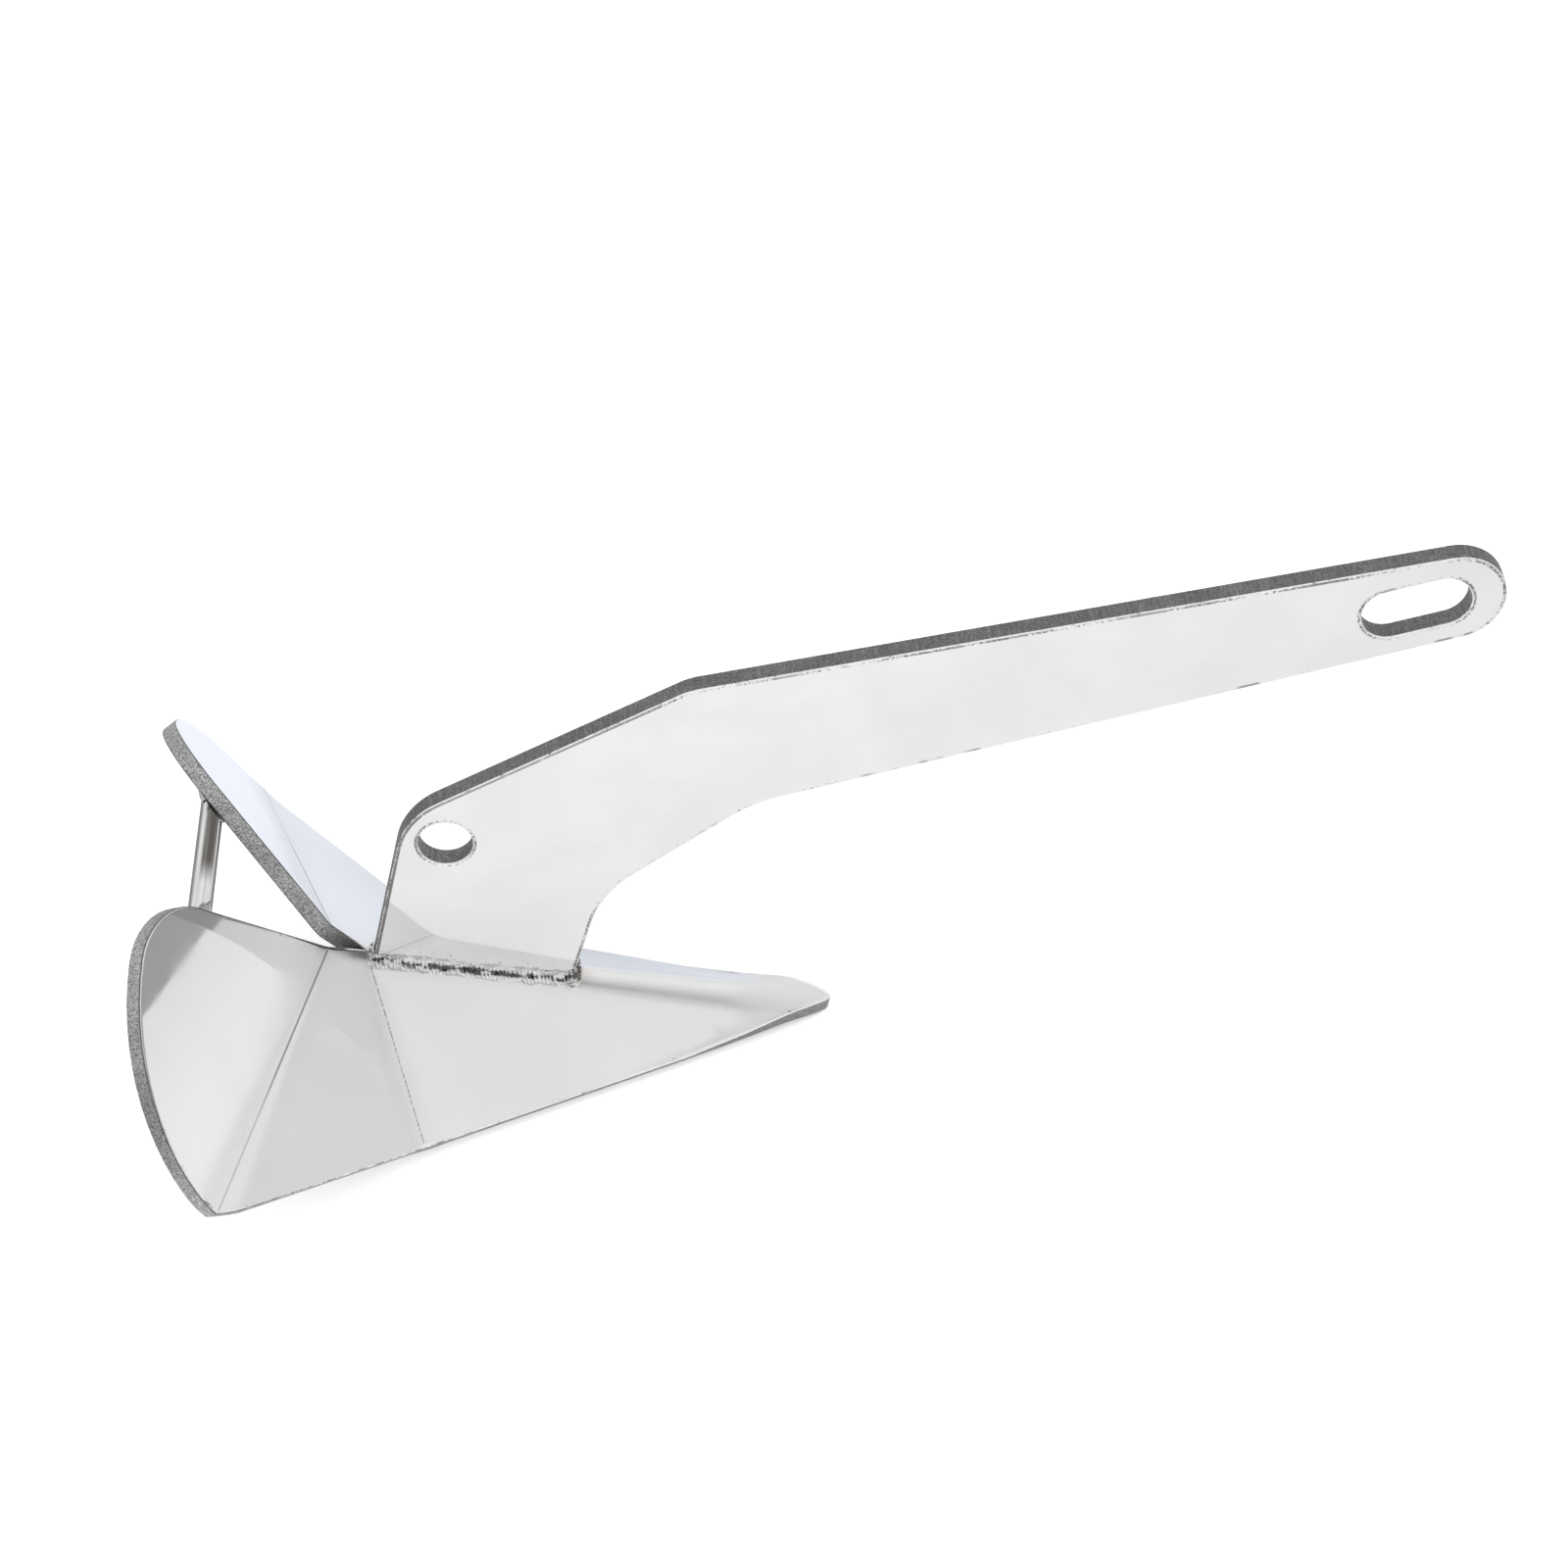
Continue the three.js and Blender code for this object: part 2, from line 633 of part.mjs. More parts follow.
const anchor = new THREE.Group();
anchor.add(
  piece('shank', shankGeometry(), POLISHED),
  piece('fluke', flukeGeometry(), POLISHED),
  piece('crossbar', crossbarGeometry(), DRAWN_BAR),
  piece('shank_weld_port', sideWeldGeometry(1), WELD),
  piece('shank_weld_starboard', sideWeldGeometry(-1), WELD),
  piece('shank_weld_toe', endWeldGeometry(TOE, 1, TOE_EDGE.angle), WELD),
  piece('shank_weld_heel', endWeldGeometry(HEEL, -1, REAR_EDGE.angle), WELD),
  piece('crossbar_weld_port', crossbarWeldGeometry(1), WELD),
  piece('crossbar_weld_starboard', crossbarWeldGeometry(-1), WELD),
  piece('nose_ballast', ballastGeometry(), ROUGH),
  piece('ballast_weld_port', ballastWeldGeometry(1), WELD),
  piece('ballast_weld_starboard', ballastWeldGeometry(-1), WELD),
);

const footprint = new THREE.Box3().setFromObject(anchor);
anchor.position.x = -(footprint.min.x + footprint.max.x) / 2;
anchor.position.z = -footprint.min.z;
anchor.updateMatrixWorld(true);

export default anchor;
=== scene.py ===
"""Looks of a welded stainless boat anchor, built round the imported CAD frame.

Every piece takes its shape and place from its CAD node. The two plates get burred rims, matt cut
edges and polished faces. The bead round the shank's foot is swept afresh with its ripples, and the
bar, the wedge and their welds are softened copies of their CAD solids.
Lengths are in metres: +X points forward to the nose, +Y to port and +Z up.
"""

import json
import math

import bmesh
import bpy
from mathutils import Matrix, Vector, noise
from mathutils.bvhtree import BVHTree
from mathutils.geometry import delaunay_2d_cdt


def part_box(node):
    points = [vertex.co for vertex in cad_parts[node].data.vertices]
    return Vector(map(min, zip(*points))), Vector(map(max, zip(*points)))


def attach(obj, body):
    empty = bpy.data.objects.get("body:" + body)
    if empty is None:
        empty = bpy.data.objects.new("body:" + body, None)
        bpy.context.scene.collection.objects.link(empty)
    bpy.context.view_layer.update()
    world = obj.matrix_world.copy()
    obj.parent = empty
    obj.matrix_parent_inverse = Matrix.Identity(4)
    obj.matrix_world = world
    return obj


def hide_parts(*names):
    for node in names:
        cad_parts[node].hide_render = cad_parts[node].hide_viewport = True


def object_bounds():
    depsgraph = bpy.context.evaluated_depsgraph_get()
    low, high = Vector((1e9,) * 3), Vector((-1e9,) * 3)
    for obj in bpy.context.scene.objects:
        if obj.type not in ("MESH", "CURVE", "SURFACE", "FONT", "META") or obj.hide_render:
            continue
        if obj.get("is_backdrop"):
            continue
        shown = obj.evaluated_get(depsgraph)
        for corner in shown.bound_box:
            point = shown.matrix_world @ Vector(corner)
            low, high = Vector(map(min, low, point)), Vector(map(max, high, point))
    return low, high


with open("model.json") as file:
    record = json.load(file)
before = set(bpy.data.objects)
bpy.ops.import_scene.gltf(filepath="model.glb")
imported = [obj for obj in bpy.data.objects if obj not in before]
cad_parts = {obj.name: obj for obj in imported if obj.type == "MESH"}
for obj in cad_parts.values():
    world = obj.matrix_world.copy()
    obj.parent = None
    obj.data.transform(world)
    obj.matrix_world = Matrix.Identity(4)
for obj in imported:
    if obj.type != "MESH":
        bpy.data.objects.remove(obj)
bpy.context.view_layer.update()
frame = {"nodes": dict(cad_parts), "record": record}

MM = 0.001

# edges sharper than the first angle are rims; edges flatter than the second are shaded smooth
RIM_ANGLE = math.radians(50)
SMOOTH_ANGLE = math.radians(65)

# rims of the cut plates: the width of the broken corner, how far in its middle point lies as a share
# of that, and the width of the scorched strip of the face beside it
RIM_WIDTH = 0.5 * MM
RIM_ROUND = 0.29
SCORCH_WIDTH = 1.3 * MM

# a rim's profile from the wall inward: (across the face, below the face)
RIM_PROFILE = [
    (0, RIM_WIDTH),
    (RIM_ROUND * RIM_WIDTH, RIM_ROUND * RIM_WIDTH),
    (RIM_WIDTH, 0),
    (RIM_WIDTH + SCORCH_WIDTH, 0),
]

# material places on a plate piece
FACE, CUT, RIM, SCORCH = range(4)

# folds of the fluke: each pair is the size at the start of the fold and its growth per length
RIDGE_ROUND = (5.5 * MM, 0.04)
FRONT_BLEND = (0.8 * MM, 0.055)
REAR_BLEND = (1.2 * MM, 0.062)

# how far from the centre plane the rear fold starts
REAR_BEND_SIDE = 7.5 * MM

# the ridge flattens between these distances ahead of its rear end, down to this share of its fold
FOLD_FADE = (159 * MM, 213 * MM)
FOLD_LEFT = 0.22

# dulled strips: distances from the centre plane where the ridge's strip starts to fade and ends,
# and the half width and waver of a fold's
RIDGE_DULL = (7 * MM, 16 * MM)
FOLD_DULL = (14 * MM, 0.5 * MM)

# distances behind the nose where the fluke's face starts to dull and is fully dull, and where the
# painted shade on its cut edge starts and is darkest
NOSE_DULL = (60 * MM, 30 * MM)
NOSE_SHADE = (80 * MM, 30 * MM)

# distances ahead of the shank's rear, and above its foot, where the marks of its rims start to thin
# out and are as thin as elsewhere
HEEL_WEAR = (26 * MM, 40 * MM)
FOOT_BURN = (30 * MM, 70 * MM)

# the long burr on the shank's back: distances ahead of its rear where it starts to thin out and is
# thin, and distances below its top where it starts and is full
BACK_BURR = (100 * MM, 180 * MM)
BACK_DEPTH = (100 * MM, 94 * MM)

# the shank's clean underside: how far ahead of the toe weld its rims are fully clean, and how far
# inside the underside's plane they start to be so and are fully so
CLEAN_AHEAD = 30 * MM
CLEAN_DEPTH = (4 * MM, 2 * MM)

# heights where the fluke's rims start to look worn and are fully worn
WING_WEAR = (20 * MM, 45 * MM)

# heat and spatter of the foot weld: how far up the shank they mark it, and the distances from the
# toe where the fluke's stain, and from the heel where its cut edge's burn, starts to fade and ends
MARKS_UP = 10 * MM
TOE_STAIN = (5 * MM, 12 * MM)
HEEL_BURN = (14 * MM, 28 * MM)

# lines along the fluke's front and rear folds: half their width and how far they waver; the rear
# one fades between these distances from the centre plane
FRONT_LINE = (0.5 * MM, 0.2 * MM)
REAR_LINE = (0.45 * MM, 0.1 * MM)
REAR_LINE_FADE = (70 * MM, 100 * MM)

# how far the painted reflection of the wings browns the crossbar: Y where the tint starts and is full
REFLECTION_REACH = (-20 * MM, -1 * MM)

# the fluke's fine mesh: steps along the ridge and the folds, rows on each side of them, and the
# grid between
FOLD_STEP = 2.5 * MM
RIDGE_STEPS = 90
FOLD_STEPS = 70
FOLD_ROWS = 7
GRID_STEP = 6 * MM

# no point of that mesh lies nearer than this beside the centre plane, or to a rim
CENTRE_GAP = 0.2 * MM
INNER_CLEARANCE = 0.8 * MM

# small parts copied from the CAD: the round of their corners, the size of their lumps, and how far
# the lumps of a smooth and a rough part stand out
SOFT_CORNER = 0.4 * MM
LUMP_SIZE = 2.5 * MM
SMOOTH_LUMPS = 0.15 * MM
ROUGH_LUMPS = 0.3 * MM

# the bead round the shank's foot: how far it reaches over the fluke and up the shank, how far it
# runs past the foot's ends, the round of its corners, and its share of that size behind the heel
BEAD_OUT = 3.4 * MM
BEAD_UP = 5.3 * MM
BEAD_PAST = 1 * MM
BEAD_CORNER = 0.9 * MM
HEEL_SLIM = 0.55

# it swells by this share over the last stretch before the toe
BLOB_LENGTH = 4 * MM
BLOB_SWELL = 0.4

# its drops and ripples, each with its size and its height as a share of the bead's size, the
# squeeze of a drop in X, Y and Z, and how far the ripples wander from an even spacing
DROP_SIZE = 3.6 * MM
DROP_SQUEEZE = (0.5, 1.2, 1.2)
DROP_HEIGHT = 0.42
RIPPLE_LENGTH = 1.9 * MM
RIPPLE_HEIGHT = 0.1
WANDER_LENGTH = 6 * MM
WANDER = 0.8

# how much fuller it is half way up, and what darkens it: burn and painted shade along its middle,
# painted shade in its hollows, a painted shadow line along its two edges, and burn in the blob at the
# toe
BEAD_CROWN = 0.12
DARKENED_MIDDLE = 0.7
SHADED_HOLLOWS = 1.2
SHADOWED_EDGES = 0.9
BURNT_BLOB = 0.25

# how far it sinks into the plates: over all, below the fluke, and at its hidden root
BEAD_OVERLAP = 0.4 * MM
BEAD_SUNK = 0.3 * MM
BEAD_ROOT = 0.6 * MM

# its quarters, in the order of the sweep; each stops just short of the next one's start
PORT, TOE, STARBOARD, HEEL = range(4)
QUARTER_END = 0.9999

# its mesh: rows up the bead, and steps along each side and round each end
BEAD_ROWS = 16
SIDE_STEPS = 260
END_STEPS = 44

# the polish mirrors a little bluer where it is seen edge on
EDGE_TINT = (0.972, 0.985, 1.0, 1)

# studio: patches of the sky as azimuth, elevation, reach and softness in degrees, and the change
# in brightness
STUDIO_PATCHES = [
    (-20, 48, 6, 14, 0.14),
    (-53, 61, 4, 10, 0.04),
    (10, 66, 4, 24, -0.3),
    (6, 29, 5, 7, -0.09),
    (9, 9, 4, 6, 0.16),
    (0, 42, 2, 9, -0.2),
    (128, 20, 1, 3, 0.5),
    (76, 32, 8, 9, 0.14),
]
STUDIO_LEVEL = 1.0

# the paper as the steel mirrors it: X of its front and rear edges, how softly each turns dark, the
# front edge's slant forward and the Y to port where that starts, and the grey beyond the edges
PAPER_FRONT = 0.83
PAPER_REAR = -0.37
FRONT_SOFTNESS = 10 * MM
REAR_SOFTNESS = 20 * MM
PAPER_SLANT = 0.5
SLANT_FROM = 0.12
OFF_PAPER = 0.36

# the mirrored paper's tint: X where it starts to dim forward and where it is dimmed to this share,
# and its cool colour with the X and Y where that starts and is full
DIMMING_X = (-0.15, 0.85)
DIMMED = 0.82
COOL_TINT = (0.85, 0.875, 0.93)
COOL_X = (0.1, -0.08)
COOL_Y = (0.0, 0.06)

# the paper itself: how much it glows to the camera, its size and how far it lies below the anchor
PAPER_GLOW = 0.3
FLOOR_SIZE = 8
FLOOR_GAP = 0.1 * MM

# the overhead light: its power, its width and its tilts about X and Y, in degrees
SUN_POWER = 1.0
SUN_WIDTH = 50
SUN_TILT = (28, -15)

# camera: its distance from its aim, the aim from the middle of the anchor's box, and its turns in
# degrees
CAMERA_DISTANCE = 1.6
CAMERA_AIM = Vector((-0.0151, 0.0637, -0.033))
CAMERA_AZIMUTH = -0.664
CAMERA_ELEVATION = 40.958
CAMERA_ROLL = -5.294
CAMERA_LENS = 76.5
CAMERA_SENSOR = 36

# ------------------------------------------------------------------ meshes


def merged_copy(node):
    """The CAD node's mesh with its shared corner points merged."""
    mesh = bmesh.new()
    mesh.from_mesh(frame["nodes"][node].data)
    bmesh.ops.remove_doubles(mesh, verts=mesh.verts, dist=1e-6)
    bmesh.ops.recalc_face_normals(mesh, faces=mesh.faces)
    return mesh


def new_piece(name, mesh, node, materials):
    """Makes a finished piece of a bmesh: it stands for the CAD node and rides on the anchor."""
    data = bpy.data.meshes.new(name)
    mesh.to_mesh(data)
    mesh.free()
    for material in materials:
        data.materials.append(material)
    data.shade_smooth()
    data.set_sharp_from_angle(angle=SMOOTH_ANGLE)
    piece = bpy.data.objects.new(name, data)
    bpy.context.scene.collection.objects.link(piece)
    weighted = piece.modifiers.new("flat faces stay flat", "WEIGHTED_NORMAL")
    weighted.mode = "FACE_AREA"
    weighted.weight = 100
    weighted.keep_sharp = True
    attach(piece, "root")
    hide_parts(node)


def rim_edges(mesh):
    """The sharp edges between a plate's faces and its cut wall."""
    return {edge for edge in mesh.edges if edge.is_manifold and edge.calc_face_angle() > RIM_ANGLE}


def flat_region(mesh, rims, towards):
    """The plate's whole face on one side: the largest region inside the rims that looks that way."""
    regions = []
    seen = set()
    for start in mesh.faces:
        if start in seen:
            continue
        seen.add(start)
        region = [start]
        for face in region:
            for edge in set(face.edges) - rims:
                for other in edge.link_faces:
                    if other not in seen:
                        seen.add(other)
                        region.append(other)
        regions.append(region)
    return max(regions, key=lambda region: sum(f.calc_area() * f.normal.dot(towards) for f in region))


def rim_loops(region, rims):
    """The rims of a region as ordered lists of points, with the plate's face on their left."""
    ahead = {}
    for face in region:
        for loop in face.loops:
            if loop.edge in rims:
                ahead[loop.vert] = loop.link_loop_next.vert
    loops = []
    while ahead:
        start, vertex = ahead.popitem()
        points = [start.co.copy()]
        while vertex is not start:
            points.append(vertex.co.copy())
            vertex = ahead.pop(vertex)
        loops.append(points)
    return loops


def inward(points, index, normal):
    """The direction into the face at one point of a rim, long enough to keep an even width."""
    here = points[index]
    before = (here - points[index - 1]).normalized()
    after = (points[(index + 1) % len(points)] - here).normalized()
    first = normal.cross(before).normalized()
    second = normal.cross(after).normalized()
    middle = (first + second).normalized()
    return middle / max(middle.dot(first), 0.5)


def cut_plate(name, node, surface, materials):
    """Builds a plate with polished faces, a cut wall between them and a burred, scorched rim.

    The surface says how the plate lies: towards is the side it is described from, thickness is
    its own, flat(point) is a point's place on the plate's plan, lift(place) is the face's point at
    a place, normal(place) is its normal there, and places are extra points for its inside.
    """
    cad = merged_copy(node)
    rims = rim_edges(cad)
    loops = rim_loops(flat_region(cad, rims, surface.towards), rims)
    cad.free()
    mesh = bmesh.new()
    walls = []
    # side is 1 for the face that the surface describes and -1 for the back
    for side in (1, -1):
        inner_loops = []
        wall = []
        for points in loops:
            rings = [[], [], [], []]
            for index, point in enumerate(points):
                normal = surface.normal(surface.flat(point))
                into = inward(points, index, normal)
                for ring, (across, down) in zip(rings, RIM_PROFILE):
                    place = surface.flat(point + into * across)
                    depth = down if side > 0 else surface.thickness - down
                    ring.append(mesh.verts.new(surface.lift(place) - surface.normal(place) * depth))
            for first, second, kind in zip(rings, rings[1:], (RIM, RIM, SCORCH)):
                join_rings(mesh, first, second, kind)
            inner_loops.append(rings[-1])
            wall.append(rings[0])
        fill_inside(mesh, surface, inner_loops, side)
        walls.append(wall)
    for upper, lower in zip(*walls):
        join_rings(mesh, upper, lower, CUT)
    bmesh.ops.recalc_face_normals(mesh, faces=mesh.faces)
    new_piece(name, mesh, node, materials)


def join_rings(mesh, first, second, kind):
    """Joins two closed rings of the same length by a band of quads of one kind of material."""
    for index in range(len(first)):
        after = (index + 1) % len(first)
        face = mesh.faces.new((first[index], first[after], second[after], second[index]))
        face.material_index = kind


def fill_inside(mesh, surface, loops, side):
    """Fills a face inside its rims with small triangles through the surface's own places."""
    vertices = [vertex for loop in loops for vertex in loop]
    back = surface.thickness if side < 0 else 0
    flats = []
    for vertex in vertices:
        normal = surface.normal(surface.flat(vertex.co))
        flats.append(surface.flat(vertex.co + normal * back))
    edges = []
    start = 0
    for loop in loops:
        edges += [(start + i, start + (i + 1) % len(loop)) for i in range(len(loop))]
        start += len(loop)
    inside = [place for place in surface.places if clear_inside(place, flats, edges)]
    found = delaunay_2d_cdt(flats + inside, edges, [], 0, 1e-7)
    places, _, triangles, origins = found[:4]
    made = {}
    for index, place in enumerate(places):
        origin = origins[index][0] if origins[index] else None
        if origin is not None and origin < len(vertices):
            made[index] = vertices[origin]
    for triangle in triangles:
        middle = sum((places[i] for i in triangle), Vector((0, 0))) / 3
        if not inside_outline(middle, flats, edges):
            continue
        for index in triangle:
            if index not in made:
                place = places[index]
                made[index] = mesh.verts.new(surface.lift(place) - surface.normal(place) * back)
        mesh.faces.new([made[index] for index in triangle]).material_index = FACE


def inside_outline(place, flats, edges):
    """True inside the outline and outside its holes."""
    odd = False
    for first, second in edges:
        a, b = flats[first], flats[second]
        if (a.y > place.y) != (b.y > place.y):
            if place.x < a.x + (place.y - a.y) / (b.y - a.y) * (b.x - a.x):
                odd = not odd
    return odd


def clear_inside(place, flats, edges):
    """True for a place inside the outline that isn't crowded against it."""
    for first, second in edges:
        a, b = flats[first], flats[second]
        run = b - a
        part = min(max((place - a).dot(run) / run.length_squared, 0), 1)
        if (a + run * part - place).length < INNER_CLEARANCE:
            return False
    return inside_outline(place, flats, edges)


# ------------------------------------------------------------------ how the plates lie


class FlatSurface:
    """The shank: a flat plate that stands on the anchor's centre plane, described from port."""

    def __init__(self, node):
        low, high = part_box(node)
        self.face = high.y
        self.thickness = high.y - low.y
        self.towards = Vector((0, 1, 0))
        self.places = []

    def flat(self, point):
        return Vector((point.x, point.z))

    def lift(self, place):
        return Vector((place.x, self.face, place.y))

    def normal(self, place):
        return self.towards


class FoldedSurface:
    """The fluke: flat facets with round folds between them, described from above."""

    def __init__(self, node):
        self.towards = Vector((0, 0, 1))
        upper, lower = self.facets(node, 1), self.facets(node, -1)
        self.front, self.middle, self.wing = upper
        self.thickness = (self.front[1] - lower[0][1]).dot(self.front[0])
        self.apex = self.crossing(self.front, self.middle, 0)
        self.bend = self.crossing(self.middle, self.wing, REAR_BEND_SIDE)
        self.folds = [
            (self.apex, self.front, self.middle, FRONT_BLEND),
            (self.bend, self.middle, self.wing, REAR_BLEND),
        ]
        self.places = self.fold_places() + self.grid_places(node)

    def facets(self, node, side):
        """The port half's three flat facets from the front, as (normal, point).

        A side of 1 gives those of the upper face and -1 those of the lower face.
        """
        areas = {}
        mesh = merged_copy(node)
        for face in mesh.faces:
            if face.normal.z * side > 0 and face.normal.y * side > 0:
                key = tuple(round(part, 3) for part in face.normal)
                area, normal, point = areas.get(key, (0, face.normal.copy(), None))
                areas[key] = (area + face.calc_area(), normal, point or face.calc_center_median())
        mesh.free()
        largest = sorted(areas.values(), key=lambda facet: -facet[0])[:3]
        largest.sort(key=lambda facet: abs(facet[1].x))
        return [(normal, point) for _, normal, point in largest]

    def crossing(self, first, second, side):
        """Where two facets cross at a distance from the centre plane."""
        rows = Matrix((first[0], second[0], (0, 1, 0)))
        return rows.inverted() @ Vector((first[0].dot(first[1]), second[0].dot(second[1]), side))

    def fold_direction(self, first, second):
        """The direction in plan of the fold between two facets, outward."""
        direction = first[0].cross(second[0])
        direction *= math.copysign(1, direction.y)
        return Vector((direction.x, direction.y)).normalized()

    def plane(self, facet, x, side):
        """The height of a facet's plane at a distance from the centre plane."""
        normal, point = facet
        return point.z - (normal.x * (x - point.x) + normal.y * (side - point.y)) / normal.z

    def height(self, x, y):
        """The height of the fluke's upper face: three facets on each side, rounded together.

        The ridge is a parabola inside its half width, and flattens smoothly towards the nose.
        """
        ahead = x - self.apex.x
        half = RIDGE_ROUND[0] + RIDGE_ROUND[1] * max(ahead, 0)
        side = abs(y)
        if side < half:
            side = side * side / (2 * half) + half / 2
        part = min(max((ahead - FOLD_FADE[0]) / (FOLD_FADE[1] - FOLD_FADE[0]), 0), 1)
        fold = 1 + (FOLD_LEFT - 1) * part * part * (3 - 2 * part)
        front = self.plane(self.front, x, side * fold)
        middle = self.plane(self.middle, x, side)
        wing = self.plane(self.wing, x, side)
        from_apex = math.hypot(ahead, y)
        from_bend = math.hypot(x - self.bend.x, abs(y) - self.bend.y)
        lower = rounded_greater(front, middle, FRONT_BLEND[0] + FRONT_BLEND[1] * from_apex)
        return rounded_greater(lower, wing, REAR_BLEND[0] + REAR_BLEND[1] * from_bend)

    def flat(self, point):
        return Vector((point.x, point.y))

    def lift(self, place):
        return Vector((place.x, place.y, self.height(place.x, place.y)))

    def normal(self, place):
        """The face's normal at a place, from the heights close round it."""
        step = 0.02 * MM
        x, y = place
        along_x = (self.height(x + step, y) - self.height(x - step, y)) / (2 * step)
        along_y = (self.height(x, y + step) - self.height(x, y - step)) / (2 * step)
        return Vector((-along_x, -along_y, 1)).normalized()

    def fold_places(self):
        """Close rows of places along the ridge and the four bends."""
        places = []
        spans = [i / FOLD_ROWS for i in range(-FOLD_ROWS, FOLD_ROWS + 1)]
        for step in range(1, RIDGE_STEPS):
            ahead = step * FOLD_STEP
            half = RIDGE_ROUND[0] + RIDGE_ROUND[1] * ahead
            places += [Vector((self.apex.x + ahead, half * part)) for part in spans]
        for start, first, second, (at_start, per_length) in self.folds:
            away = self.fold_direction(first, second)
            across = Vector((-away.y, away.x))
            slope_x = first[0].x / first[0].z - second[0].x / second[0].z
            slope_y = first[0].y / first[0].z - second[0].y / second[0].z
            slope = abs(slope_x * across.x + slope_y * across.y)
            for step in range(1, FOLD_STEPS):
                length = step * FOLD_STEP
                half = (at_start + per_length * length) / slope
                for part in spans:
                    place = Vector((start.x, start.y)) + away * length + across * half * part
                    places += [place, Vector((place.x, -place.y))]
        return [place for place in places if abs(place.y) > CENTRE_GAP or place.y == 0]

    def grid_places(self, node):
        """An even grid of places over the whole plan; those off the plate are dropped later."""
        low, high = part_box(node)
        places = []
        for i in range(int((high.x - low.x) / GRID_STEP)):
            for j in range(int((high.y - low.y) / GRID_STEP)):
                places.append(Vector((low.x + (i + 0.5) * GRID_STEP, low.y + (j + 0.5) * GRID_STEP)))
        return places


def rounded_greater(first, second, blend):
    """The greater of two heights, with a round of the given blend where they are nearly equal."""
    difference = abs(first - second)
    lift = (blend - difference) ** 2 / (4 * blend) if difference < blend else 0
    return max(first, second) + lift


# ------------------------------------------------------------------ shader nodes


class Shader:
    """A node tree with short calls for the nodes that the materials share."""

    def __init__(self, tree):
        self.tree = tree
        self.position = self.add("ShaderNodeTexCoord").outputs["Object"]

    def add(self, kind, **settings):
        node = self.tree.nodes.new(kind)
        for key, value in settings.items():
            setattr(node, key, value)
        return node

    def put(self, socket, value):
        """Sets an input from another node's output, a number or a colour."""
        if isinstance(value, bpy.types.NodeSocket):
            self.tree.links.new(value, socket)
        else:
            socket.default_value = value

    def math(self, operation, *values):
        node = self.add("ShaderNodeMath", operation=operation)
        for socket, value in zip(node.inputs, values):
            self.put(socket, value)
        return node.outputs[0]

    def vector(self, operation, *values):
        node = self.add("ShaderNodeVectorMath", operation=operation)
        for socket, value in zip(node.inputs, values):
            self.put(socket, value)
        output = "Value" if operation in ("DISTANCE", "DOT_PRODUCT") else "Vector"
        return node.outputs[output]

    def split(self, vector):
        """The X, Y and Z of a vector."""
        node = self.add("ShaderNodeSeparateXYZ")
        self.put(node.inputs[0], vector)
        return node.outputs

    def side(self):
        """Distance from the centre plane, the same on both wings."""
        return self.math("ABSOLUTE", self.split(self.position)["Y"])

    def along(self, axis, start, end, low=0.0, high=1.0):
        """A fade along one axis, "X", "Y" or "Z", between two places on it."""
        return self.fade(self.split(self.position)[axis], start, end, low, high)

    def fade(self, value, start, end, low=0.0, high=1.0):
        """Low where the value is at start, high where it is at end, with a smooth change between."""
        node = self.add("ShaderNodeMapRange", interpolation_type="SMOOTHSTEP")
        for socket, number in zip(node.inputs, (value, start, end, low, high)):
            self.put(socket, number)
        return node.outputs[0]

    def noise(self, scale, detail=3.0, stretch=(1, 1, 1), roughness=0.55):
        """Seedless cloudy noise of a scale per metre; below 1, a stretch draws it out on its axis."""
        node = self.add("ShaderNodeTexNoise")
        self.put(node.inputs["Vector"], self.vector("MULTIPLY", self.position, stretch))
        self.put(node.inputs["Scale"], scale)
        self.put(node.inputs["Detail"], detail)
        self.put(node.inputs["Roughness"], roughness)
        return node.outputs[0]

    def mix(self, part, first, second):
        """A colour between two colours."""
        node = self.add("ShaderNodeMix", data_type="RGBA")
        self.put(node.inputs["Factor"], part)
        self.put(node.inputs["A"], first)
        self.put(node.inputs["B"], second)
        return node.outputs["Result"]

    def bump(self, height, distance, normal=None):
        """A normal tilted by a relief; distance is how high the relief is."""
        node = self.add("ShaderNodeBump")
        self.put(node.inputs["Height"], height)
        self.put(node.inputs["Distance"], distance)
        self.put(node.inputs["Strength"], 1.0)
        if normal is not None:
            self.put(node.inputs["Normal"], normal)
        return node.outputs[0]


def grey(value, warmth=0.0):
    """A grey colour; warmth above 0 leans it to brown and below 0 to blue."""
    return (value * (1 + warmth), value, value * (1 - warmth), 1)


def new_metal(name, colour, roughness, normal, tint=(1, 1, 1, 1)):
    """A metal material from functions that each build one of its inputs in a shader."""
    material = bpy.data.materials.new(name)
    material.use_nodes = True
    shader = Shader(material.node_tree)
    surface = material.node_tree.nodes["Principled BSDF"]
    shader.put(surface.inputs["Metallic"], 1.0)
    shader.put(surface.inputs["Specular Tint"], tint)
    shader.put(surface.inputs["Base Color"], colour(shader))
    shader.put(surface.inputs["Roughness"], roughness(shader))
    shader.put(surface.inputs["Normal"], normal(shader))
    return material


SHANK_SURFACE = FlatSurface("shank")
FLUKE_SURFACE = FoldedSurface("fluke")

# ------------------------------------------------------------------ materials


def polished_colour(shader):
    """Bright steel with faint clouds."""
    clouds = shader.fade(shader.noise(14, 4), 0.35, 0.7)
    return shader.mix(clouds, grey(0.73, -0.004), grey(0.695, 0.005))


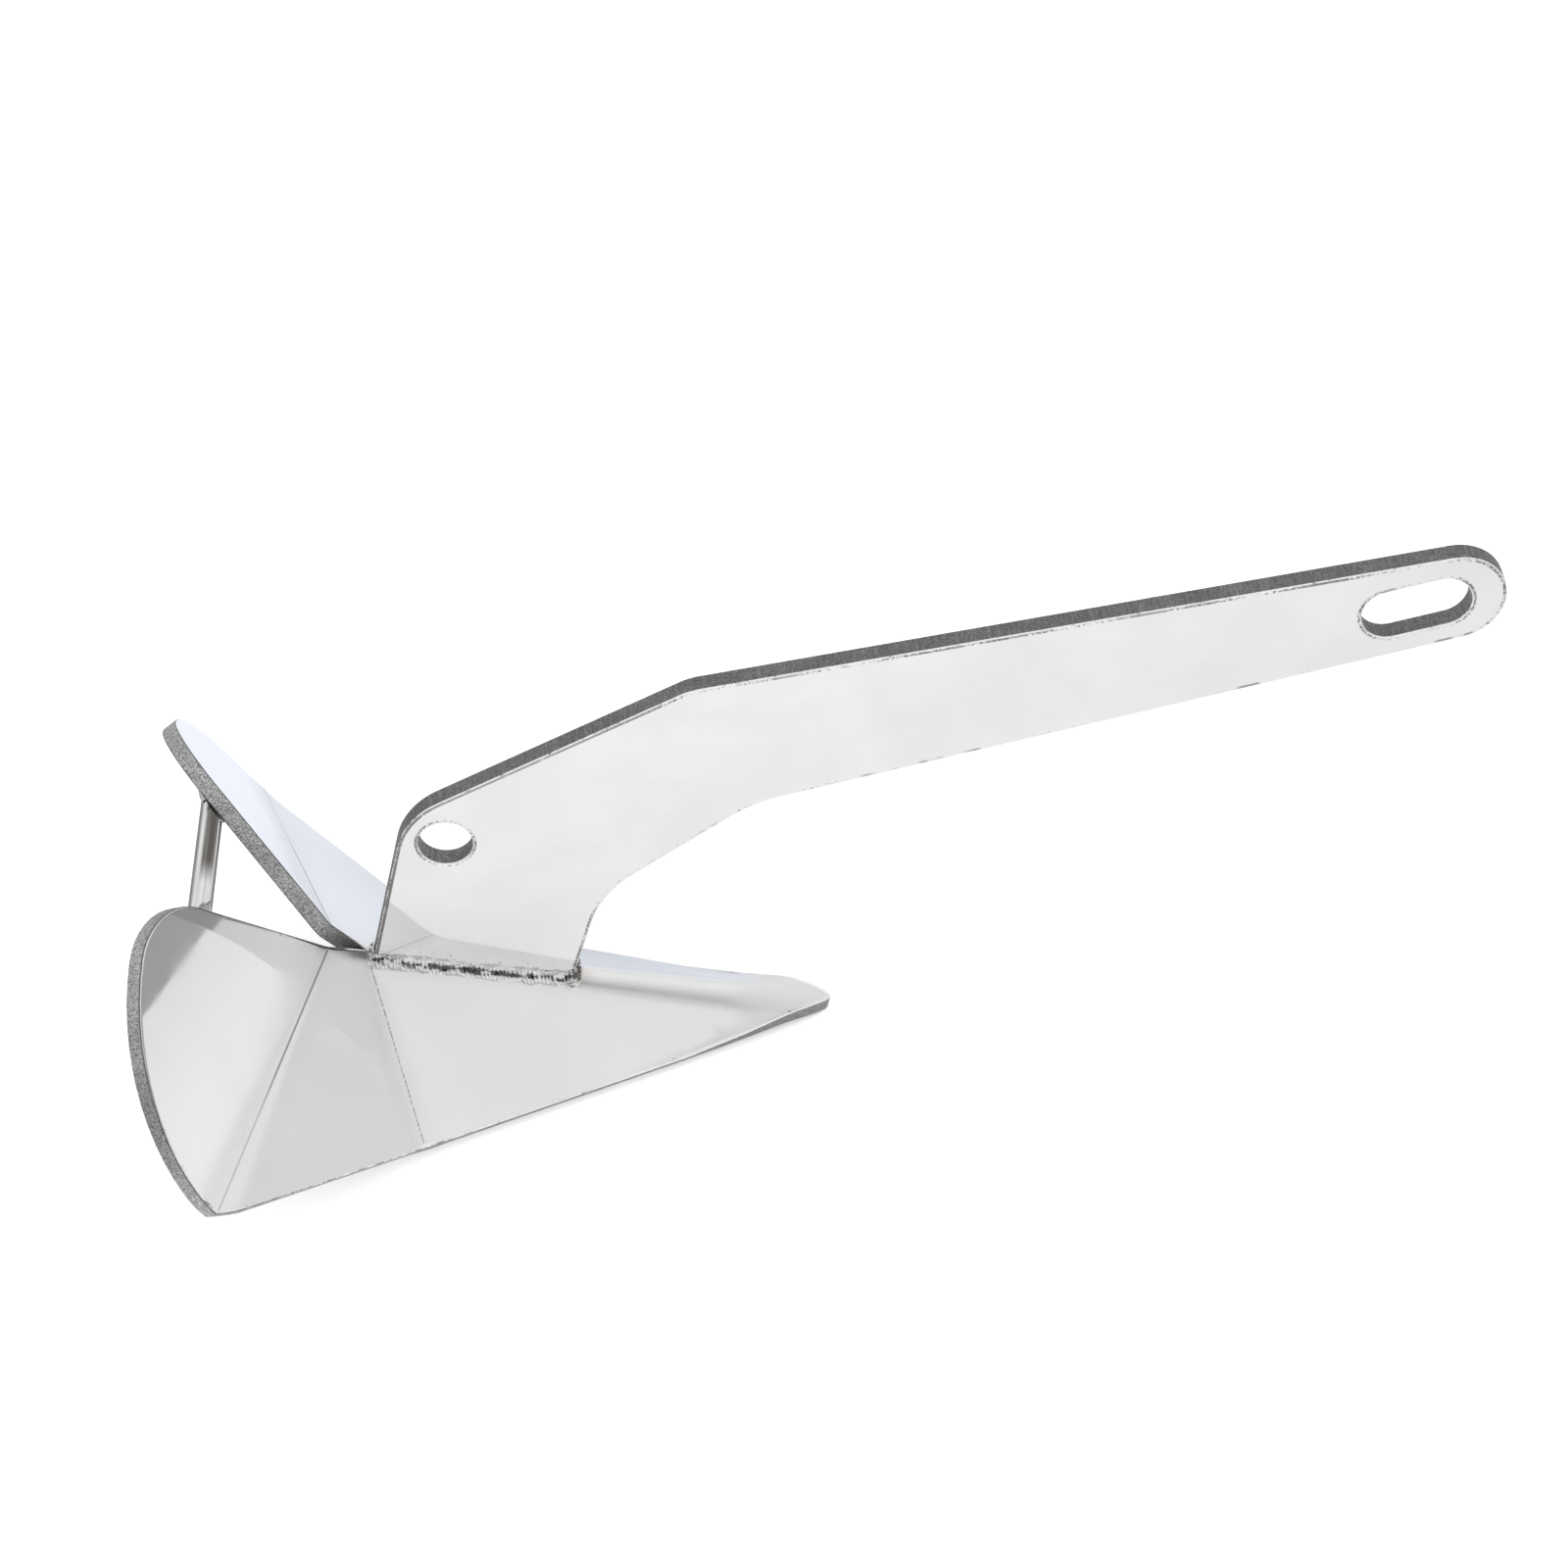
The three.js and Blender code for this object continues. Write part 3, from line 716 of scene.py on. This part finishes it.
def shank_colour(shader):
    """The polish with faint smears, and grinding streaks and spatter just above the foot weld."""
    place = shader.split(shader.position)
    low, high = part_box("shank_weld_port")
    slope = (high.z - low.z - BEAD_UP) / (high.x - low.x)
    forward = shader.math("SUBTRACT", place["X"], low.x)
    height = shader.math("MULTIPLY_ADD", forward, slope, place["Z"])
    near = shader.fade(height, high.z + MARKS_UP, high.z)
    lines = shader.add("ShaderNodeTexNoise", noise_dimensions="1D")
    shader.put(lines.inputs["W"], height)
    shader.put(lines.inputs["Scale"], 450)
    streaks = shader.fade(lines.outputs[0], 0.45, 0.75, 0.0, 0.35)
    broken = shader.math("MULTIPLY", streaks, shader.fade(shader.noise(60, 2), 0.35, 0.65))
    spatter = shader.fade(shader.noise(420, 0), 0.76, 0.78)
    marks = shader.math("MULTIPLY", shader.math("MAXIMUM", broken, spatter), near)
    smears = shader.fade(shader.noise(26, 5, stretch=(0.9, 1, 1.2)), 0.42, 0.62, 0.0, 0.4)
    smeared = shader.mix(smears, polished_colour(shader), grey(0.655, 0.004))
    return shader.mix(marks, smeared, grey(0.25, 0.02))


def polished_roughness(shader):
    return shader.fade(shader.noise(22, 5), 0.3, 0.75, 0.015, 0.05)


def polished_normal(shader):
    """Long shallow waves with the fine lines of the polish on them."""
    waves = shader.bump(shader.noise(9, 1), 0.05 * MM)
    return shader.bump(shader.noise(700, 2, stretch=(0.05, 1, 1)), 0.0004 * MM, normal=waves)


def fold_lines():
    """The port wing's two folds as (point, direction) in plan."""
    lines = []
    for start, first, second, _ in FLUKE_SURFACE.folds:
        away = FLUKE_SURFACE.fold_direction(first, second)
        lines.append((Vector((start.x, start.y, 0)), Vector((away.x, away.y, 0))))
    return lines


def fold_mark(shader, line, width, waver):
    """1 on the line of a fold, 0 beyond a width from it; both wings share the port wing's line."""
    point, direction = line
    plan = shader.add("ShaderNodeCombineXYZ")
    shader.put(plan.inputs["X"], shader.split(shader.position)["X"])
    shader.put(plan.inputs["Y"], shader.side())
    across = Vector((-direction.y, direction.x, 0))
    offset = shader.vector("DOT_PRODUCT", shader.vector("SUBTRACT", plan.outputs[0], point), across)
    shaken = shader.math("MULTIPLY_ADD", shader.noise(220, 2), waver, -waver / 2)
    distance = shader.math("ABSOLUTE", shader.math("ADD", offset, shaken))
    return shader.fade(distance, width, 0)


def folded_roughness(shader):
    """The polish is dulled where the press rubbed the plate along the ridge and the folds."""
    dull = shader.fade(shader.side(), RIDGE_DULL[0], RIDGE_DULL[1], 1.0, 0.0)
    for line in fold_lines():
        dull = shader.math("MAXIMUM", dull, fold_mark(shader, line, *FOLD_DULL))
    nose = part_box("fluke")[1].x
    tip = shader.along("X", nose - NOSE_DULL[0], nose - NOSE_DULL[1])
    strength = shader.fade(tip, 0, 1, 0.26, 0.45)
    rubbed = shader.math("MULTIPLY", shader.math("MAXIMUM", dull, tip), strength)
    return shader.math("ADD", polished_roughness(shader), rubbed)


def folded_colour(shader):
    """The polish with a marked line along each fold and a heat stain ahead of the toe weld."""
    front_line, rear_line = fold_lines()
    dots = shader.fade(shader.noise(1000, 1), 0.4, 0.52)
    front = shader.math("MULTIPLY", fold_mark(shader, front_line, *FRONT_LINE), dots)
    fading = shader.fade(shader.side(), REAR_LINE_FADE[0], REAR_LINE_FADE[1], 1.0, 0.45)
    rear = shader.math("MULTIPLY", fold_mark(shader, rear_line, *REAR_LINE), fading)
    marks = shader.math("MAXIMUM", front, rear)
    marked = shader.mix(marks, polished_colour(shader), grey(0.2, 0.02))
    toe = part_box("shank_weld_toe")[1]
    reach = shader.vector("DISTANCE", shader.position, Vector((toe.x, 0, toe.z)))
    heat = shader.fade(reach, TOE_STAIN[0], TOE_STAIN[1], 0.4, 0.0)
    return shader.mix(heat, marked, (0.5, 0.36, 0.26, 1))


def cut_grain(shader):
    """Fine grain, crossed by the drag lines that the cutting jet leaves through the plate."""
    grain = shader.math("MULTIPLY", shader.noise(1100, 4, roughness=0.8), 0.7)
    lines = shader.noise(800, 3, stretch=(1, 0.08, 1), roughness=0.75)
    return shader.fade(shader.math("MULTIPLY_ADD", lines, 0.3, grain), 0.4, 0.62)


def cut_colour(shader):
    """Dark hollows between patchy grey grains."""
    patches = shader.fade(shader.noise(60, 3), 0.3, 0.7)
    raised = shader.mix(patches, grey(0.22, 0.012), grey(0.28))
    return shader.mix(cut_grain(shader), grey(0.11, 0.005), raised)


def lit_edge_colour(shader):
    """The fluke's cut edge: speckled grey with painted light, lighter than the shank's cut edge, and
    painted shade towards the nose; burnt by the weld at the heel.
    """
    grain = shader.fade(shader.noise(1500, 4, roughness=0.9), 0.4, 0.6)
    patches = shader.fade(shader.noise(60, 3), 0.3, 0.7)
    # painted light: these grains are much lighter than those of the shank's cut edge
    lit_grain = shader.mix(grain, grey(0.09), shader.mix(patches, grey(0.6), grey(0.74)))
    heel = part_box("shank_weld_heel")[0]
    reach = shader.vector("DISTANCE", shader.position, Vector((heel.x, 0, heel.z)))
    burnt = shader.fade(reach, HEEL_BURN[1], HEEL_BURN[0], 0.0, 0.55)
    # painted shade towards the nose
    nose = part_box("fluke")[1].x
    towards_nose = shader.along("X", nose - NOSE_SHADE[0], nose - NOSE_SHADE[1], 0.0, 0.35)
    return shader.mix(shader.math("MAXIMUM", burnt, towards_nose), lit_grain, grey(0.1, 0.01))


def cut_roughness(shader):
    return shader.fade(shader.noise(900, 3), 0.3, 0.7, 0.42, 0.65)


def cut_normal(shader):
    return shader.bump(shader.noise(1500, 4, roughness=0.75), 0.12 * MM)


def underside(shader):
    """1 on the rim of the shank's underside and gullet, 0 on its other rims."""
    mounts = {mount["name"]: mount for mount in frame["record"]["mounts"]}
    roller = mounts["roller_face"]
    from_roller = shader.vector("SUBTRACT", shader.position, Vector(roller["pos_m"]))
    below = shader.vector("DOT_PRODUCT", from_roller, Vector(roller["axis"]))
    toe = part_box("shank_weld_toe")[1].x
    ahead = shader.along("X", toe, toe + CLEAN_AHEAD)
    reached = shader.fade(below, -CLEAN_DEPTH[0], -CLEAN_DEPTH[1])
    return shader.math("MULTIPLY", reached, ahead)


def rim_colour(shader):
    """A bright burr with dark nicks: closest together up the heel, fewest along the underside."""
    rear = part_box("shank")[0].x
    wear = shader.along("X", rear + HEEL_WEAR[0], rear + HEEL_WEAR[1], -0.1, 0.0)
    grain = shader.math("ADD", shader.noise(300, 4, roughness=0.8), wear)
    grain = shader.math("MULTIPLY_ADD", underside(shader), 0.1, grain)
    nicks = shader.fade(grain, 0.33, 0.46)
    return shader.mix(nicks, grey(0.25, 0.02), grey(0.85))


def folded_rim_colour(shader):
    """The fluke's rims are worn dark round the raised wings and bright along the front edges."""
    raised = shader.along("Z", WING_WEAR[0], WING_WEAR[1], 0.0, 0.9)
    return shader.mix(raised, rim_colour(shader), grey(0.12, 0.02))


def burnt_marks(shader, size, start, end):
    """Ragged marks along a rim: 1 on a mark; they come and go along the rim."""
    fine = shader.noise(size, 5, roughness=0.85)
    spread = shader.fade(shader.noise(24, 2), 0.35, 0.65, -0.07, 0.05)
    return shader.fade(shader.math("ADD", fine, spread), start, end)


def scorch_colour(shader):
    """Rims near the weld are burnt the most; long lines of burr run along the back of the shank."""
    low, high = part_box("shank")
    heel = shader.along("X", low.x + HEEL_WEAR[0], low.x + HEEL_WEAR[1], 0.33, 0.48)
    foot = shader.along("Z", low.z + FOOT_BURN[0], low.z + FOOT_BURN[1], 0.41, 0.48)
    start = shader.math("MINIMUM", heel, foot)
    start = shader.math("MULTIPLY_ADD", underside(shader), 0.1, start)
    specks = burnt_marks(shader, 600, start, shader.math("ADD", start, 0.07))
    back = shader.along("X", low.x + BACK_BURR[0], low.x + BACK_BURR[1], 0.3, 0.02)
    above = shader.along("Z", high.z - BACK_DEPTH[0], high.z - BACK_DEPTH[1])
    back = shader.math("MULTIPLY", back, above)
    lines = shader.fade(shader.math("ADD", shader.noise(38, 3), back), 0.58, 0.66, 0.0, 0.75)
    marks = shader.math("MAXIMUM", specks, lines)
    return shader.mix(marks, polished_colour(shader), grey(0.19, 0.03))


def faint_scorch_colour(shader):
    marks = burnt_marks(shader, 800, 0.57, 0.65)
    return shader.mix(marks, polished_colour(shader), grey(0.34, 0.02))


def rim_roughness(shader):
    return shader.fade(shader.noise(500, 2), 0.3, 0.7, 0.2, 0.45)


def rim_normal(shader):
    return shader.bump(shader.noise(800, 4, roughness=0.7), 0.15 * MM)


def bar_colour(shader):
    """Bright drawn steel with reflections painted on: a brown stripe on its forward side towards port
    for the wings it mirrors, dark lines along its two edges and a darker band on its rear side.
    """
    low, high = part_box("crossbar")
    offset = shader.math("SUBTRACT", shader.split(shader.position)["X"], (low.x + high.x) / 2)
    # painted reflection: a brown stripe from the bar's middle to near its forward edge, reaching
    # towards port
    rear_side = shader.fade(offset, -1.2 * MM, 0.2 * MM)
    front_side = shader.fade(offset, 5.0 * MM, 4.3 * MM)
    towards_port = shader.along("Y", REFLECTION_REACH[0], REFLECTION_REACH[1])
    stripes = shader.fade(shader.noise(420, 2, stretch=(1, 0.02, 1)), 0.3, 0.6, 0.6, 1.0)
    painted_stripe = shader.math("MULTIPLY", shader.math("MULTIPLY", rear_side, front_side), towards_port)
    painted_stripe = shader.math("MULTIPLY", painted_stripe, stripes)
    draw_lines = shader.fade(shader.noise(900, 2, stretch=(1, 0.02, 1)), 0.35, 0.7)
    bright = shader.mix(draw_lines, grey(0.7, 0.01), grey(0.54, 0.02))
    # painted reflections: dark lines along the bar's two edges, and a darker band on its rear side
    scale = shader.fade(shader.math("ABSOLUTE", offset), 4.6 * MM, 5.3 * MM, 0.0, 0.8)
    painted_rear_band = shader.fade(offset, -2.2 * MM, -3.0 * MM, 0.0, 0.45)
    painted_reflections = shader.math("MAXIMUM", painted_stripe, shader.math("MAXIMUM", scale, painted_rear_band))
    return shader.mix(painted_reflections, bright, grey(0.1, 0.06))


def bar_roughness(shader):
    return shader.fade(shader.noise(600, 3, stretch=(1, 0.03, 1)), 0.3, 0.7, 0.05, 0.14)


def bar_normal(shader):
    return shader.bump(shader.noise(700, 2, stretch=(1, 0.02, 1)), 0.02 * MM)


def weld_colour(shader):
    """Bright metal, darkened by burn and painted shade along the middle of the bead, by painted shade
    in its hollows and by a painted shadow line at its edges.
    """
    burn_and_shade = shader.add("ShaderNodeAttribute", attribute_name="burn_and_shade").outputs["Fac"]
    specks = shader.noise(480, 4, stretch=(0.28, 1, 1), roughness=0.75)
    burnt = shader.math("ADD", burn_and_shade, shader.math("MULTIPLY_ADD", specks, 2.0, -1.0))
    bright = shader.mix(shader.noise(200, 2), grey(0.8, 0.01), grey(0.5, 0.02))
    return shader.mix(shader.fade(burnt, 0.42, 0.8), bright, grey(0.1, 0.04))


def weld_roughness(shader):
    return shader.fade(shader.noise(700, 3), 0.3, 0.7, 0.16, 0.4)


def weld_normal(shader):
    return shader.bump(shader.noise(1300, 4), 0.08 * MM)


def raw_colour(shader):
    """Dull grey steel in soft patches."""
    patches = shader.fade(shader.noise(90, 4), 0.3, 0.7)
    return shader.mix(patches, grey(0.3, 0.01), grey(0.44, -0.01))


def raw_roughness(shader):
    return shader.fade(shader.noise(300, 4), 0.3, 0.7, 0.45, 0.7)


def raw_normal(shader):
    return shader.bump(shader.noise(700, 5), 0.12 * MM)


POLISHED = new_metal("polished_plate", shank_colour, polished_roughness, polished_normal, EDGE_TINT)
FOLDED = new_metal("folded_plate", folded_colour, folded_roughness, polished_normal, EDGE_TINT)
CUT_EDGE = new_metal("cut_edge", cut_colour, cut_roughness, cut_normal)
# the fluke's cut edge, with painted light and painted shade
LIT_CUT_EDGE = new_metal("lit_cut_edge", lit_edge_colour, cut_roughness, cut_normal)
BURR = new_metal("burred_rim", rim_colour, rim_roughness, rim_normal)
WORN_BURR = new_metal("worn_rim", folded_rim_colour, rim_roughness, rim_normal)
SCORCHED = new_metal("scorched_rim", scorch_colour, polished_roughness, polished_normal)
FAINTLY_SCORCHED = new_metal("faint_rim", faint_scorch_colour, polished_roughness, polished_normal)
DRAWN_BAR = new_metal("drawn_bar", bar_colour, bar_roughness, bar_normal)
WELD_METAL = new_metal("weld_metal", weld_colour, weld_roughness, weld_normal)
RAW_STEEL = new_metal("raw_steel", raw_colour, raw_roughness, raw_normal)

# ------------------------------------------------------------------ plates

cut_plate("shank_plate", "shank", SHANK_SURFACE, [POLISHED, CUT_EDGE, BURR, SCORCHED])
cut_plate("fluke_plate", "fluke", FLUKE_SURFACE, [FOLDED, LIT_CUT_EDGE, WORN_BURR, FAINTLY_SCORCHED])

# ------------------------------------------------------------------ small parts copied from the CAD


def softened_copy(name, node, material, cuts, lumps):
    """Builds a CAD solid with rounded corners, each edge cut this often, and an uneven surface."""
    mesh = merged_copy(node)
    edges = [edge for edge in mesh.edges if edge.calc_face_angle(0) > RIM_ANGLE]
    bmesh.ops.bevel(mesh, geom=edges, offset=SOFT_CORNER, segments=2, profile=0.5, affect="EDGES")
    bmesh.ops.subdivide_edges(mesh, edges=mesh.edges, cuts=cuts, use_grid_fill=True)
    mesh.normal_update()
    for vertex in mesh.verts:
        vertex.co += vertex.normal * lumps * noise.fractal(vertex.co / LUMP_SIZE, 0.6, 2.0, 3)
    new_piece(name, mesh, node, [material])


softened_copy("tie_bar", "crossbar", DRAWN_BAR, 1, 0.0)
softened_copy("nose_wedge", "nose_ballast", RAW_STEEL, 3, SMOOTH_LUMPS)
for side in ("port", "starboard"):
    bar_weld = f"crossbar_weld_{side}"
    wedge_weld = f"ballast_weld_{side}"
    softened_copy(f"bar_bead_{side}", bar_weld, WELD_METAL, 3, SMOOTH_LUMPS)
    softened_copy(f"wedge_bead_{side}", wedge_weld, WELD_METAL, 4, ROUGH_LUMPS)

# ------------------------------------------------------------------ the bead round the shank's foot


def foot_outline():
    """The shank's foot in plan: X of its rear and front ends as the bead runs, and its half width."""
    low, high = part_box("shank_weld_port")
    return low.x - BEAD_PAST, high.x + BEAD_PAST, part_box("shank")[1].y


def along_foot(rear, front, half, quarter, way):
    """Place and outward direction part of the way along one quarter of the foot's outline."""
    corner = BEAD_CORNER
    if quarter in (PORT, STARBOARD):
        side = 1 if quarter == PORT else -1
        run = way if side > 0 else 1 - way
        x = rear + corner + run * (front - rear - 2 * corner)
        return Vector((x, side * half, 0)), Vector((0, side, 0))
    end = 1 if quarter == TOE else -1
    bend = math.pi / 2 * corner
    flat = 2 * (half - corner)
    length = way * (2 * bend + flat)
    centre_x = (front - corner) if end > 0 else (rear + corner)
    if length < bend:
        turn = length / corner
        centre_y = half - corner
    elif length < bend + flat:
        turn = math.pi / 2
        centre_y = half - corner - (length - bend)
    else:
        turn = math.pi / 2 + (length - bend - flat) / corner
        centre_y = corner - half
    out = Vector((math.sin(turn), math.cos(turn), 0))
    place = Vector((centre_x + end * corner * out.x, end * (centre_y + corner * out.y), 0))
    return place, Vector((end * out.x, end * out.y, 0))


def bead_relief(point):
    """How far the bead's skin stands out or in, as a share of its size: drops and ripples."""
    squeezed = Vector([squeeze * part for squeeze, part in zip(DROP_SQUEEZE, point)])
    drops = noise.fractal(squeezed / DROP_SIZE, 0.5, 2.0, 3)
    wander = WANDER * noise.noise(point / WANDER_LENGTH)
    ripple = math.sin(2 * math.pi * (point.x / RIPPLE_LENGTH + wander))
    return DROP_HEIGHT * drops + RIPPLE_HEIGHT * ripple


def fluke_ground():
    """The fluke's CAD solid, ready to be hit by rays from above."""
    plate = merged_copy("fluke")
    ground = BVHTree.FromBMesh(plate)
    plate.free()
    return ground


def ground_height(ground, spot):
    return ground.ray_cast(Vector((spot.x, spot.y, 1)), Vector((0, 0, -1)))[0].z


def foot_bead(name, node, quarter, steps):
    """Sweeps one quarter of the bead round the foot; it swells into a burnt blob at the toe."""
    rear, front, half = foot_outline()
    ground = fluke_ground()
    mesh = bmesh.new()
    burn_and_shade = mesh.verts.layers.float.new("burn_and_shade")
    rings = []
    for step in range(steps + 1):
        place, out = along_foot(rear, front, half, quarter, step / steps * QUARTER_END)
        blob = max(0, 1 - (front - place.x) / BLOB_LENGTH)
        ring = []
        for row in range(BEAD_ROWS + 1):
            angle = math.pi / 2 * row / BEAD_ROWS
            out_share = math.cos(angle)
            up_share = math.sin(angle)
            middle = math.sin(2 * angle)
            sample = place + out * BEAD_OUT * out_share
            relief = bead_relief(Vector((sample.x, sample.y, BEAD_UP * up_share)))
            inside = 0 < row < BEAD_ROWS
            reach = 1 + BEAD_CROWN * middle + relief * middle**0.5 if inside else 1 + relief
            reach += BLOB_SWELL * blob
            if place.x < rear + BEAD_CORNER:
                reach *= HEEL_SLIM
            spot = place + out * (BEAD_OUT * out_share * reach - BEAD_OVERLAP)
            spot.z = ground_height(ground, spot) + BEAD_UP * up_share * reach - BEAD_SUNK
            vertex = mesh.verts.new(spot)
            # its darkness: burn and painted shade along the middle, painted shade where the relief
            # sinks, burn in the blob, and a painted shadow line on the two edge rows
            burnt = DARKENED_MIDDLE * middle**2 - SHADED_HOLLOWS * relief + BURNT_BLOB * blob
            vertex[burn_and_shade] = burnt if inside else burnt + SHADOWED_EDGES
            ring.append(vertex)
        root = place - out * BEAD_ROOT
        ring.append(mesh.verts.new((root.x, root.y, ground_height(ground, root) - BEAD_OVERLAP)))
        rings.append(ring)
    for first, second in zip(rings, rings[1:]):
        for i in range(len(first)):
            j = (i + 1) % len(first)
            mesh.faces.new((first[i], first[j], second[j], second[i]))
    mesh.faces.new(rings[0])
    mesh.faces.new(reversed(rings[-1]))
    bmesh.ops.recalc_face_normals(mesh, faces=mesh.faces)
    new_piece(name, mesh, node, [WELD_METAL])


foot_bead("foot_bead_port", "shank_weld_port", PORT, SIDE_STEPS)
foot_bead("foot_bead_toe", "shank_weld_toe", TOE, END_STEPS)
foot_bead("foot_bead_starboard", "shank_weld_starboard", STARBOARD, SIDE_STEPS)
foot_bead("foot_bead_heel", "shank_weld_heel", HEEL, END_STEPS)

# ------------------------------------------------------------------ studio


def sky(shader):
    """Brightness of the studio in each direction, from soft round patches of light and shade."""
    direction = shader.vector("NORMALIZE", shader.position)
    level = STUDIO_LEVEL
    for azimuth, elevation, reach, softness, change in STUDIO_PATCHES:
        flat = math.cos(math.radians(elevation))
        aim = (
            flat * math.cos(math.radians(azimuth)),
            flat * math.sin(math.radians(azimuth)),
            math.sin(math.radians(elevation)),
        )
        closeness = shader.vector("DOT_PRODUCT", direction, aim)
        outer = math.cos(math.radians(reach + softness))
        inner = math.cos(math.radians(reach))
        level = shader.math("ADD", level, shader.fade(closeness, outer, inner, 0.0, change))
    return level


def build_world():
    """A white studio whose patches show only in what the steel mirrors."""
    world = bpy.data.worlds.new("studio")
    bpy.context.scene.world = world
    world.use_nodes = True
    shader = Shader(world.node_tree)
    shader.position = shader.add("ShaderNodeTexCoord").outputs["Generated"]
    camera_ray = shader.add("ShaderNodeLightPath").outputs["Is Camera Ray"]
    level = shader.fade(camera_ray, 0, 1, sky(shader), 1.0)
    background = world.node_tree.nodes["Background"]
    shader.put(background.inputs["Strength"], level)
    shader.put(background.inputs["Color"], (1, 1, 1, 1))


def mirrored_floor(shader):
    """The floor that the steel mirrors: dimmer forward, cooler aft on port, dark off the paper."""
    place = shader.split(shader.position)
    aft = shader.along("X", COOL_X[0], COOL_X[1])
    cool = shader.math("MULTIPLY", shader.along("Y", COOL_Y[0], COOL_Y[1]), aft)
    level = shader.along("X", DIMMING_X[0], DIMMING_X[1], 1.0, DIMMED)
    white = shader.add("ShaderNodeCombineXYZ")
    for socket, cooled in zip(white.inputs, COOL_TINT):
        shader.put(socket, shader.math("MULTIPLY", level, shader.fade(cool, 0, 1, 1.0, cooled)))
    slant = shader.math("MULTIPLY_ADD", place["Y"], PAPER_SLANT, -PAPER_SLANT * SLANT_FROM)
    reach = shader.math("SUBTRACT", place["X"], shader.math("MAXIMUM", slant, 0.0))
    forward = shader.fade(reach, PAPER_FRONT, PAPER_FRONT + FRONT_SOFTNESS)
    behind = shader.along("X", PAPER_REAR, PAPER_REAR - REAR_SOFTNESS)
    return shader.mix(shader.math("MAXIMUM", forward, behind), white.outputs[0], grey(OFF_PAPER))


def build_floor():
    """A paper sheet just below the anchor: plain white to the eye, shaded in the steel's mirror."""
    mesh = bmesh.new()
    bmesh.ops.create_grid(mesh, x_segments=1, y_segments=1, size=FLOOR_SIZE / 2)
    data = bpy.data.meshes.new("floor")
    mesh.to_mesh(data)
    mesh.free()
    floor = bpy.data.objects.new("floor", data)
    floor.location.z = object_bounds()[0].z - FLOOR_GAP
    bpy.context.scene.collection.objects.link(floor)
    floor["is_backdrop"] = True
    material = bpy.data.materials.new("paper")
    material.use_nodes = True
    shader = Shader(material.node_tree)
    surface = material.node_tree.nodes["Principled BSDF"]
    mirror_ray = shader.add("ShaderNodeLightPath").outputs["Is Glossy Ray"]
    paper = shader.mix(shader.noise(40, 3), grey(0.9), grey(0.88))
    colour = shader.mix(mirror_ray, paper, mirrored_floor(shader))
    camera_ray = shader.add("ShaderNodeLightPath").outputs["Is Camera Ray"]
    shader.put(surface.inputs["Base Color"], colour)
    shader.put(surface.inputs["Emission Color"], colour)
    shader.put(surface.inputs["Emission Strength"], shader.math("MULTIPLY", camera_ray, PAPER_GLOW))
    shader.put(surface.inputs["Roughness"], 0.9)
    shader.put(surface.inputs["Specular IOR Level"], 0.1)
    data.materials.append(material)


def build_light():
    """One wide overhead light that the steel doesn't mirror."""
    light = bpy.data.lights.new("overhead", "SUN")
    light.energy = SUN_POWER
    light.angle = math.radians(SUN_WIDTH)
    sun = bpy.data.objects.new("overhead", light)
    sun.rotation_euler = (math.radians(SUN_TILT[0]), math.radians(SUN_TILT[1]), 0)
    sun.visible_glossy = False
    bpy.context.scene.collection.objects.link(sun)


def build_camera():
    low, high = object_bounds()
    turn = Matrix.Rotation(math.radians(CAMERA_AZIMUTH), 3, "Z").inverted()
    turn = turn @ Matrix.Rotation(math.radians(90 - CAMERA_ELEVATION), 3, "X")
    turn = turn @ Matrix.Rotation(math.radians(CAMERA_ROLL), 3, "Z")
    camera = bpy.data.cameras.new("camera")
    camera.lens = CAMERA_LENS
    camera.sensor_width = CAMERA_SENSOR
    holder = bpy.data.objects.new("camera", camera)
    aim = (low + high) / 2 + CAMERA_AIM
    stand = aim + turn @ Vector((0, 0, CAMERA_DISTANCE))
    holder.matrix_world = Matrix.Translation(stand) @ turn.to_4x4()
    bpy.context.scene.collection.objects.link(holder)
    bpy.context.scene.camera = holder


build_world()
build_floor()
build_light()
build_camera()
bpy.context.scene.view_settings.view_transform = "Standard"
